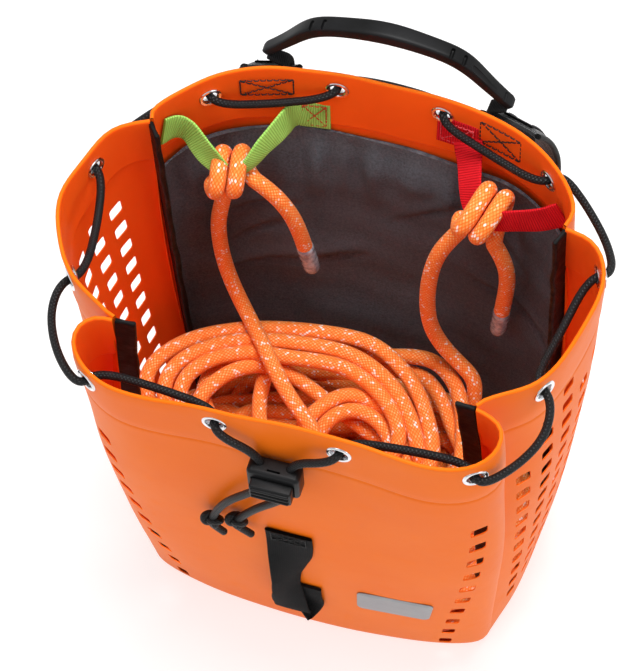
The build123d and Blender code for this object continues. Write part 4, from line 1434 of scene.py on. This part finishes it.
def box_stitching(centre, right, up, outward, width, height):
    """A sewn box, with a cross in it, laid on a surface."""
    centre, right, up = np.asarray(centre, float), unit(right), unit(up)
    corner = [centre + right * x * width / 2 + up * y * height / 2
              for x, y in ((-1, -1), (1, -1), (1, 1), (-1, 1))]
    runs = [(corner[i], corner[(i + 1) % 4]) for i in range(4)]
    runs += [(corner[0], corner[2]), (corner[1], corner[3])]
    return joined([stitches(run, outward) for run in runs])


# ---------------------------------------------------------------- seam binding and padded back
TAPE_WIDTH = 11.5
SEAMS = {
    "front_right": (FRONT_SEAM, (-1, 0.04), (-0.85, 0.5)),
    "front_left": (((-106, -77.5), (-117.5, -59)), (1, 0.04), (0.85, 0.5)),
    "back_right": (BACK_SEAM_RIGHT, (-0.35, -0.94), (-0.5, -0.87)),
    "back_left": (BACK_SEAM_LEFT, (0.62, -0.78), (0.6, -0.8)),
}


def seam_tape(word, seed):
    """Binding tape folded over a corner seam, a fin that points into the bag."""
    (rim, base), inward_rim, inward_base = SEAMS[word]
    draw = np.random.default_rng(seed)
    wander = [np.interp(np.arange(400), np.arange(0, 400, 14), draw.normal(size=29)) for _ in range(3)]
    top = float(rim_height(rim[1])) - 0.8
    rings = []
    levels = np.concatenate([np.linspace(2.6, top - 3, 120), [top - 1.6, top - 0.6, top]])
    for n, level in enumerate(levels):
        share = level / RIM_LEVEL
        out = WALL_BELLY * max(0.0, sin(pi * share))
        mix = min(share, 1.0)
        inward = unit(np.array(inward_base) * (1 - mix) + np.array(inward_rim) * mix)
        across = np.array([inward[1], -inward[0]])
        corner = np.array(base) * (1 - share) + np.array(rim) * share
        i = min(int(level), 380)
        wide = TAPE_WIDTH + 0.7 * wander[0][i]
        drop = max(BOTTOM_ROUND - level, 0)
        tuck = BOTTOM_ROUND - (BOTTOM_ROUND**2 - drop**2) ** 0.5
        start = corner + inward * (WALL - 0.6 - out + tuck)
        sway = 0.5 * wander[1][i] * smoothstep(0, 20, level) * smoothstep(0, 12, top - level)
        ring = []
        for reach, half in ((0, 1.7), (3, 1.6), (6, 1.45), (9, 1.45), (11.5, 1.7), (13.2, 1.75),
                            (14.1, 1.35), (14.5, 0.6)):
            ring.append((reach * wide / 14.5, half + 0.14 * wander[2][i] * (reach > 4)))
        loop = [(reach, half) for reach, half in ring] + [(reach, -half) for reach, half in ring[::-1]]
        shrink = 1.0 if n < len(levels) - 2 else (0.86 if n == len(levels) - 2 else 0.5)
        points = []
        for reach, half in loop:
            bend = sway * smoothstep(0, 14, reach)
            plan = start + inward * reach + across * (half * shrink + bend)
            points.append((plan[0], plan[1], level))
        rings.append(points)
    return lofted(rings)


def build_tapes():
    for seed, word in enumerate(SEAMS):
        points, faces, uv = seam_tape(word, 40 + seed)
        make_object(word + "_binding", points, faces, BINDING, "black_binding",
                    replaces=[word + "_seam_tape"], uv=uv, sharp=45)


LINING_LOW, LINING_TOP = 4.0, 306.0
LINING_EDGE = 8 / 399         # bare share of the back wall at each side of the lining
# Slantwise folds of the lining: slope, height at its left edge, and where they start and end across it.
LINING_FOLDS = ((-0.30, 236, 150, 275), (-0.55, 330, 200, 262), (-0.16, 268, 195, 275),
                (0.35, 172, 10, 100), (0.9, 190, 40, 110), (-0.8, 345, 90, 150))


def lining_creases(u, z):
    """Height of the padding's soft creases and of the puckers under its sewn top edge."""
    tall = np.sin(u * 0.105 + 0.6 * np.sin(z * 0.021)) * 1.5 + np.sin(u * 0.047 - z * 0.017 + 1.3) * 1.8
    flat = np.sin(z * 0.083 + u * 0.023 + 0.4) * 0.9 + np.sin(z * 0.19 - u * 0.031 + 2.0) * 0.35
    folds = 0
    for slope, offset, u0, u1 in LINING_FOLDS:
        across = z - offset - slope * u
        span = smoothstep(u0, u0 + 25, u) * smoothstep(u1, u1 - 35, u)
        folds = folds - 3.6 * np.exp(-(across / 3.0) ** 2) * span
        folds = folds + 2.0 * np.exp(-((across - 9) / 7) ** 2) * span
    pucker = np.sin(u * 0.30 + 1.4 * np.sin(u * 0.071)) * 2.4 + np.sin(u * 0.17 + 0.8) * 2.0
    return (tall * smoothstep(40, 200, z) + flat + folds
            + pucker * smoothstep(235, 285, z) * smoothstep(306, 292, z))


def build_lining():
    side = SIDES["back_panel"]
    first, last = LINING_EDGE, 1 - LINING_EDGE
    columns, rows = 150, 110
    share = np.linspace(first, last, columns)
    length = side.length * (last - first)
    along = (share - first) / (last - first)
    edge = length * np.minimum(along, 1 - along)
    sway = 1.6 * np.sin(along * 11 + 0.4) + 0.9 * np.sin(along * 29 + 1.1)
    tops = LINING_TOP - 2.0 + sway - 4.0 * smoothstep(26, 4, edge)
    back, front = [], []
    flat_u, flat_v = [], []
    for k in np.linspace(0, 1, rows):
        level = LINING_LOW + (tops - LINING_LOW) * (1 - (1 - k) ** 1.25)
        close = (smoothstep(0, 16, edge) * smoothstep(0, 30, tops - level)
                 * smoothstep(0, 10, level - LINING_LOW))
        hem = smoothstep(15, 9, tops - level)
        thick = 1.2 + close * 6.2 - 0.8 * hem * close
        wrinkle = lining_creases(along * length, level) * (0.25 + 0.75 * close)
        back.append(side.at(share, level, -(WALL + 0.5)))
        front.append(side.at(share, level, -(WALL + 0.5 + thick + 0.85 * wrinkle + 0.9)))
        flat_u.append(along * length)
        flat_v.append(level)
    front, back = np.array(front), np.array(back)
    points = np.concatenate([front.reshape(-1, 3), back.reshape(-1, 3)])
    count = columns * rows
    faces = []
    for i in range(rows - 1):
        for j in range(columns - 1):
            a = i * columns + j
            faces.append((a, a + 1, a + columns + 1, a + columns))
            faces.append((count + a, count + a + columns, count + a + columns + 1, count + a + 1))
    ring = list(range(columns)) + [i * columns + columns - 1 for i in range(1, rows)]
    ring += [(rows - 1) * columns + j for j in range(columns - 2, -1,
                                                     -1)] + [i * columns for i in range(rows - 2, 0, -1)]
    for a, b in zip(ring, ring[1:] + ring[:1]):
        faces.append((b, a, count + a, count + b))
    uv = np.stack([np.array(flat_u).ravel(), np.array(flat_v).ravel()], 1)
    uv = np.concatenate([uv, uv])
    lining = make_object("padded_lining", points, faces, LINING, "grey_lining",
                         replaces=["back_pad", "back_lining"], uv=uv, sharp=60)


# ---------------------------------------------------------------- webbing loops
def add_web(name, strips, material, slot_name, nodes, body=BAG):
    points, faces, uv = joined(strips)
    return make_object(name, points, faces, material, slot_name, body=body, replaces=nodes, uv=uv, sharp=55)


def add_thread(name, parts, material, slot_name):
    points, faces, uv = joined(parts)
    return make_object(name, points, faces, material, slot_name, uv=uv, sharp=80)


def cupped(amount):
    """A lift that folds a strip's edges forward towards its end."""
    return lambda share, across: amount * smoothstep(0.35, 1.0, share) * (across * 2) ** 2


def inner_back(x, level, gap=0.0):
    """A point on the inside of the back wall at one x, and the direction into the bag."""
    side = SIDES["back_panel"]
    share = np.linspace(0.02, 0.98, 300)
    line = side.at(share, float(level))
    place = float(np.interp(-x, -line[:, 0], share))
    point, outward = side.frame(place, level)
    return point - outward * (HEM - 0.4 + gap), -outward


def sewn_patch(x0, x1, low, high, thickness=1.6):
    """A piece of webbing sewn flat inside the back wall, its length along x."""
    middle = (low + high) / 2
    line = [inner_back(x, middle, thickness / 2)[0] for x in np.linspace(x0, x1, 6)]
    return ribbon(line, (0, 0.09, 1), high - low, thickness, step=1.5)


def patch_thread(x0, x1, low, high):
    """Box stitching on a sewn patch."""
    corner = {}
    for x in (x0, x1):
        for z in (low, high):
            corner[x, z], inward = inner_back(x, z, 1.75)
    runs = [((x0, low), (x1, low)), ((x1, low), (x1, high)), ((x1, high), (x0, high)),
            ((x0, high), (x0, low))]
    runs += [((x0, low), (x1, high)), ((x1, low), (x0, high))]
    return joined([stitches([corner[a], corner[b]], inward, 3.0, 2.4, 0.38) for a, b in runs])


def build_tie_loops():
    """Webbing sewn inside the back wall, with a knot of rope round the middle of each."""
    upright = (0, 0.09, 1)
    green_left = [(-123.5, 61, 334), (-120.5, 65.5, 332.5), (-116.5, 69, 330.5), (-111, 69.5, 328),
                  (-105, 66.5, 324), (-97, 63, 317), (-90, 62, 309)]
    left_across = [(0, 0, 1), (0.02, 0.02, 1), (0.1, 0.04, 1), (0.22, 0.06, 0.97),
                   (0.35, 0.1, 0.93)] + [(0.41, 0.11, 0.9)] * 2
    green_right = [inner_back(-45, 320.5, 1)[0], inner_back(-51, 321.5, 1.6)[0], (-56.5, 95, 325),
                   (-60.5, 85, 324), (-66, 75, 320), (-72.5, 66, 311), (-80, 62, 304)]
    right_across = ([upright] * 2 + [(-0.2, -0.1, 0.97)] + [(-0.3, -0.2, 0.93)] * 2
                    + [(-0.35, -0.3, 0.88)] * 2)
    strips = [ribbon(green_left, left_across, (22, 22, 22, 21, 20, 18, 14), 1.6, lift=cupped(1.4)),
              ribbon(green_right, right_across, (23, 23, 22, 20, 17, 12, 10), 1.6, lift=cupped(1.4)),
              sewn_patch(-34, -53, 307.5, 331.5)]
    add_web("green_tie_webbing", strips, GREEN_WEB, "green_webbing", ["green_tie_loop"])
    red_left = [inner_back(52, 334, 0.6)[0], inner_back(53, 330, 1.6)[0], (55, 98, 326.5),
                (57.5, 90, 322.5), (60, 82, 318.5), (63, 75, 312), (67, 70, 305)]
    across = [(1, -0.2, 0.3), (1, -0.25, 0.4), (0.82, -0.2, 0.55)] + [(0.8, -0.2, 0.6)] * 4
    red_right = [(119, 70.5, 329), (115, 69.8, 327), (109, 68, 324.5), (101, 66.5, 321.5),
                 (91, 65, 318.5), (82, 64, 315), (74, 64, 312)]
    strips = [ribbon(red_left, across, (20, 21, 20, 19, 18, 16, 14), 1.6, lift=cupped(0.8)),
              ribbon(red_right, upright, (22, 22, 21, 20, 19, 18, 16), 1.6, lift=cupped(1.2)),
              sewn_patch(33, 59, 322, 345)]
    add_web("red_tie_webbing", strips, RED_WEB, "red_webbing", ["red_tie_loop"])
    add_thread("green_loop_stitching", [patch_thread(-51, -36.5, 310, 329)], RED_THREAD, "red_webbing")
    add_thread("red_loop_stitching", [patch_thread(35.5, 56, 325, 342)], PINK_THREAD, "red_webbing")


GEAR_X = -3.0


def gear_wall(level, out=1.4):
    point, _ = SIDES["front_panel"].frame(0.5, level)
    return point[1] - out


def crowned(share, across):
    """A lift that raises the middle of a hanging strip, away from its sewn ends."""
    return 0.5 * np.cos(across * pi) * smoothstep(0.1, 0.3, share) * smoothstep(0, 0.25, 1 - share)


def build_gear_loop():
    """Wide webbing sewn flat at its top, hanging in a curl and sewn again at its foot."""
    # At each point: x, distance off the wall, height, the width's direction in x and y, and the width.
    hang = ((-1, 1.4, 188, 1, 0, 30), (-1, 1.6, 176, 1, 0, 30), (-1.5, 3.2, 158, 0.97, 0.15, 28),
            (-3, 5.5, 140, 0.87, 0.45, 24), (-5, 7.5, 122, 0.74, 0.66, 20.5),
            (-6.5, 8.5, 103, 0.76, 0.64, 19.5), (-6.5, 9, 86, 0.92, 0.34, 21), (-6, 9, 70, 1, 0.08, 22.5),
            (-5.5, 8, 59, 1, 0, 23.5), (-4, 5, 54, 1, 0, 24.5), (-1, 2.3, 58, 1, 0, 26),
            (0.5, 1.8, 72, 1, 0, 26.5), (0.8, 1.6, 95, 1, 0, 26.5))
    line = [(x, gear_wall(z, out), z) for x, out, z, _, _, _ in hang]
    across = [(a, b, 0) for _, _, _, a, b, _ in hang]
    strips = [ribbon(line, across, [wide for *_, wide in hang], 2.0, columns=12,
                     lift=crowned)]
    add_web("gear_loop_webbing", strips, BLACK_WEB, "black_webbing", ["front_gear_loop"])
    front = (0, -1, 0)
    threads = [box_stitching((GEAR_X + 2, gear_wall(182, 2.7), 182), (1, 0, 0), (0, -0.06, 1), front, 22,
                             11),
               stitches([(GEAR_X + 0.5, gear_wall(72, 2.7), 76), (GEAR_X + 14, gear_wall(72, 2.7), 76)],
                        front),
               stitches([(GEAR_X + 0.5, gear_wall(82, 2.7), 83), (GEAR_X + 14, gear_wall(82, 2.7), 83)],
                        front)]
    add_thread("gear_loop_stitching", threads, BLACK_THREAD, "black_webbing")


def build_patch():
    """Reflective film welded to the lower right of the front, with rounded corners."""
    side = SIDES["front_panel"]
    low, high, first, last = 71.0, 105.0, 0.632, 0.805
    across = side.length
    middle_u = (first + last) / 2 * across
    half_u = (last - first) / 2 * across
    middle_w, half_w, radius = (low + high) / 2, (high - low) / 2, 5.0
    rings = []
    for inset, out in ((0, 0.25), (0, 0.75), (0.5, 1.05), (6, 1.1), (12, 1.1), (16.4, 1.1)):
        ring = []
        for cx, cy, start in ((1, 1, 0), (-1, 1, 90), (-1, -1, 180), (1, -1, 270)):
            for a in np.linspace(start, start + 90, 6):
                r = max(radius - inset, 0.3)
                u = middle_u + cx * (half_u - inset - r) + r * cos(radians(a))
                w = middle_w + cy * (half_w - inset - r) + r * sin(radians(a))
                ring.append(side.at(u / across, w, out + slack(*side.at(u / across, w)[0]))[0])
        rings.append(ring)
    points, faces, uv = lofted(rings)
    make_object("reflective_film", points, faces, REFLECTIVE, "reflective_silver",
                replaces=["reflective_patch"], uv=uv)


# ---------------------------------------------------------------- shoulder straps
# Share along the back wall, side and name of each strap and handle end.
STRAPS = ((0.268, 1, "right"), (0.732, -1, "left"))
STRAP_LEVEL = 340
ANCHOR_WIDTH, PAD_HALF_WIDTH, STRAP_WEB_WIDTH, LOWER_WEB_WIDTH = 38.0, 18.0, 20.0, 25.0


def back_frame(share, level):
    point, outward = SIDES["back_panel"].frame(share, level)
    return point, outward, np.array([outward[1], -outward[0], 0.0])


def build_adjuster(word, foot, across, outward):
    """The slotted plastic adjuster under a strap's foot; returns its middle."""
    upright = np.array([0, 0, 1.0])
    buckle_at = foot - outward * 1.5 - upright * 16.0
    points, faces, _ = rounded_box((34, 26, 4), 1.4, steps=4)
    points = turned(points, across, upright, outward, buckle_at)
    faces = [f[::-1] for f in faces]
    buckle = make_object(word + "_strap_adjuster", points, faces, PLASTIC, "black_plastic",
                         replaces=[word + "_strap_buckle"], sharp=35)
    cutters = []
    for slot_at in (-7.5, 0.0, 7.5):
        p, f, _ = rounded_box((27, 4.2, 12), 1.2, steps=3)
        p = turned(p, across, upright, outward, buckle_at + upright * slot_at)
        cutters.append(cutter_object(p, [face[::-1] for face in f]))
    apply_boolean(buckle, cutters)
    return buckle_at


def build_strap(share, side, word):
    top, outward, across = back_frame(share, STRAP_LEVEL)
    patch_at = top + outward * 1.4
    rings = []
    for z, grow in ((325.8, 0.9), (326.6, 1.0), (340, 1.0), (356.4, 1.0), (357.2, 0.9)):
        sec = section(ANCHOR_WIDTH * grow, 2.0, 12)
        rings.append([patch_at * (1, 1, 0) + np.array([0, 0, z]) + across * a + outward * b
                      for a, b in sec])
    add_web(word + "_strap_anchor", [lofted(rings)], BLACK_WEB, "black_webbing", [word + "_anchor_patch"])
    start = top + outward * 10.2
    route = [(0, -1.5, 348.5), (side * 3, 5, 338), (side * 9, 13, 312), (side * 10, 14, 270),
             (side * 9, 12, 220), (side * 8, 10, 168)]
    route = np.array([(start[0] + dx, start[1] + dy, z) for dx, dy, z in route])
    # Padded strap: crowned foam in mesh cloth, pinched by the stitching near its edges.
    line = spline(route, 150)
    tangent = unit(np.gradient(line, axis=0))
    wide = unit(across - (tangent @ across)[:, None] * tangent)
    through = np.cross(tangent, wide)
    body_rings = []
    for i, p in enumerate(line):
        share_along = i / (len(line) - 1)
        end = smoothstep(0, 0.03, share_along) * smoothstep(0, 0.03, 1 - share_along)
        ring = []
        for a in np.linspace(-1, 1, 17):
            pinch = 1 - 0.55 * np.exp(-((abs(a) - 0.80) / 0.07) ** 2)
            ring.append((a * PAD_HALF_WIDTH, (1.0 + (1.8 * (1 - abs(a) ** 4)) * end) * pinch))
        loop = ring + [(a, -b) for a, b in ring[::-1]]
        body_rings.append([p + wide[i] * a + through[i] * b for a, b in loop])
    points, faces, uv = lofted(body_rings)
    strap = make_object(word + "_padded_strap", points, faces, MESH_CLOTH, "black_webbing",
                        replaces=[word + "_shoulder_strap"], uv=uv, sharp=60)
    bound = []
    for edge in (-1, 1):
        edge_line = line + wide * edge * PAD_HALF_WIDTH
        rings = []
        for i in range(len(line)):
            loop = []
            for a in np.linspace(0, 2 * pi, 12, endpoint=False):
                loop.append(edge_line[i] + wide[i] * edge * (cos(a) * 2.2 - 1.6) + through[i] * sin(a) * 1.7)
            rings.append(loop)
        bound.append(lofted(rings))
    add_web(word + "_strap_binding", bound, BINDING, "black_binding", [])
    out_sign = 1.0 if through[60] @ outward > 0 else -1.0
    centre = line + through * out_sign * 3.0
    web = ribbon(centre[2:-1:6], across, STRAP_WEB_WIDTH, 1.2, step=2.0)
    add_web(word + "_strap_webbing", [web], BLACK_WEB, "black_webbing", [])
    threads = []
    for a in (-8.2, 8.2):
        threads.append(stitches((centre + wide * a + through * out_sign * 0.62)[4:-3:4], outward))
    add_thread(word + "_strap_stitching", threads, GREY_THREAD, "black_webbing")
    buckle_at = build_adjuster(word, route[-1], across, outward)
    low, _, _ = back_frame(share, 42)
    low_points = [buckle_at + (0, 0, -13.3), buckle_at + (side * 1, -2, -42),
                  np.array([low[0] + side * 4, low[1] + 7.5, 62]),
                  np.array([low[0] + side * 5, low[1] + 4.4, 24])]
    lower = [ribbon(low_points, across, LOWER_WEB_WIDTH, 1.6, step=2.0)]
    add_web(word + "_lower_webbing", lower, BLACK_WEB, "black_webbing", [word + "_lower_strap"])


# ---------------------------------------------------------------- handle
GRIP_LINE = ((75, 116.5, 361.5), (59, 117, 378), (44, 117, 393), (24, 117, 400), (0, 117, 403),
             (-24, 117, 400), (-44, 117, 393), (-59, 117, 378), (-75, 116.5, 361.5))
GRIP_WIDTH, GRIP_THICKNESS = 11.0, 9.0
GRIP_SQUARENESS = 0.40


def build_grip():
    line = spline(GRIP_LINE, 140)
    tangent = unit(np.gradient(line, axis=0))
    wide = np.array([0, 1.0, 0])
    rings = []
    for i, p in enumerate(line):
        share = i / (len(line) - 1)
        grow = sin(pi * share)
        up = unit(np.cross(tangent[i], wide))
        taper = 0.72 + 0.28 * smoothstep(0.02, 0.3, share) * smoothstep(0.02, 0.3, 1 - share)
        half_y = (GRIP_WIDTH - 1 + grow) / 2 * (0.4 + 0.6 * taper)
        half_z = (GRIP_THICKNESS - 1 + grow) / 2 * taper
        # Soft finger swell at the middle, and a step where the ends are thinner.
        swell = (1.0 - 0.035 * cos(6 * pi * share) * smoothstep(0.15, 0.3, share)
                 * smoothstep(0.15, 0.3, 1 - share))
        size = swell * (0.8 + 0.2 * smoothstep(0, 0.012, share) * smoothstep(0, 0.012, 1 - share))
        ring = []
        for a in np.linspace(0, 2 * pi, 40, endpoint=False):
            c, s = cos(a), sin(a)
            ring.append(p + wide * half_y * size * np.sign(c) * abs(c) ** GRIP_SQUARENESS
                        + up * half_z * size * np.sign(s) * abs(s) ** GRIP_SQUARENESS)
        rings.append(ring)
    points, faces, _ = lofted(rings)
    return points, faces, line, tangent


def build_handle():
    points, faces, line, tangent = build_grip()
    deep = np.array([0, 1.0, 0])
    grip = make_object("carry_grip", points, faces, PLASTIC, "black_plastic", body=HANDLE,
                       replaces=["handle_grip"], sharp=40)
    cutters = []
    for share in (0.05, 0.25, 0.29, 0.71, 0.75):
        i = int(share * (len(line) - 1))
        way = tangent[i]
        p, f, _ = rounded_box((2.6, 7.0, 5), 1.1, steps=3)
        outer = unit(np.cross(way, deep))
        place = line[i] + outer * 4.4 * np.sign(outer[2]) - deep * 1.6
        cutters.append(cutter_object(turned(p, way, deep, outer, place), f))
    # A long shallow hollow along the face towards the right end.
    start, stop = line[12], line[30]
    way = unit(stop - start)
    p, f, _ = rounded_box((np.linalg.norm(stop - start), 4.0, 2.4), 1.1, steps=3)
    outer = unit(np.cross(way, deep))
    place = (start + stop) / 2 + outer * 4.3 * np.sign(outer[2]) - deep * 2.6
    cutters.append(cutter_object(turned(p, way, deep, outer, place), f))
    apply_boolean(grip, cutters)
    for share, side, word in STRAPS:
        point, outward, across = back_frame(share, STRAP_LEVEL)
        start = point + outward * 4.8
        run = [(side * 63, start[1] + 1, 330), (side * 63, start[1] + 1.5, 340), (side * 62, 116.4, 348),
               (side * 62, 116.8, 352.5), (side * 66, 116.2, 356), (side * 73, 115, 361)]
        wide = [across, across, (0.5 * across[0], 1, 0), (0, 1, 0), (0, 1, 0), (0, 1, 0)]
        strip = ribbon(run, wide, (12, 12, 11.5, 11, 10, 9), 2.0, step=1.0)
        make_blended("handle_strap_" + word, strip, BLACK_WEB, "black_webbing",
                     ["handle_anchor_" + word] + (["handle_webbing"] if side > 0 else []))


def make_blended(name, strip, material, slot_name, nodes):
    """A piece between the bag and the handle, riding on neither body."""
    points, faces, uv = strip
    obj = make_object(name, points, faces, material, slot_name, uv=uv, sharp=55)
    obj.parent = None
    del obj["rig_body"]
    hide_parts(*nodes)
    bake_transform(obj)
    return obj


def build_rim_stitching():
    """Black boxes sewn through the back rim, where the handle and straps are fixed outside."""
    parts = []
    for x0, x1, below in ((-87, -56, (8, 22)), (60, 87, (6, 26))):
        corner = {}
        for x in (x0, x1):
            for drop in below:
                rim = float(rim_height(inner_back(x, 345)[0][1]))
                corner[x, drop] = inner_back(x, rim - drop, 0.2)[0]
        inward = inner_back((x0 + x1) / 2, 345)[1]
        box = [corner[x, drop] for x, drop in zip((x0, x1, x1, x0), np.repeat(below, 2))]
        for a, b in ((0, 1), (1, 2), (2, 3), (3, 0), (0, 2), (1, 3)):
            parts.append(stitches([box[a], box[b]], inward))
    add_thread("rim_box_stitching", parts, BLACK_THREAD, "black_webbing")


def build_spring():
    """The cord lock's return spring, a coil from the back of the case to the button's stem."""
    cx, cy, cz = LOCK_CENTRE
    back = cy + LOCK_Y / 2 - 1.6
    front = cy - LOCK_Y / 2 + STEM_LENGTH
    turn = np.linspace(0, 2 * pi * 4.5, 150)
    line = np.stack([cx + 2.6 * np.cos(turn), np.linspace(back - 0.4, front + 0.4, 150),
                     cz - 2 + 2.6 * np.sin(turn)], 1)
    points, faces, uv = round_tube(line, 0.35, 8)
    spring = make_object("lock_spring_wire", points, faces, SPRING, "spring_steel",
                         replaces=["cord_lock_spring"], uv=uv)
    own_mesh(spring)


# ---------------------------------------------------------------- making
set_camera()
set_stage()
build_walls()
build_tapes()
build_lining()
build_rope()
build_drawcord()
build_eyelets()
build_cord_lock()
build_spring()
build_tie_loops()
build_gear_loop()
build_patch()
for strap_share, strap_side, strap_word in STRAPS:
    build_strap(strap_share, strap_side, strap_word)
build_handle()
build_rim_stitching()
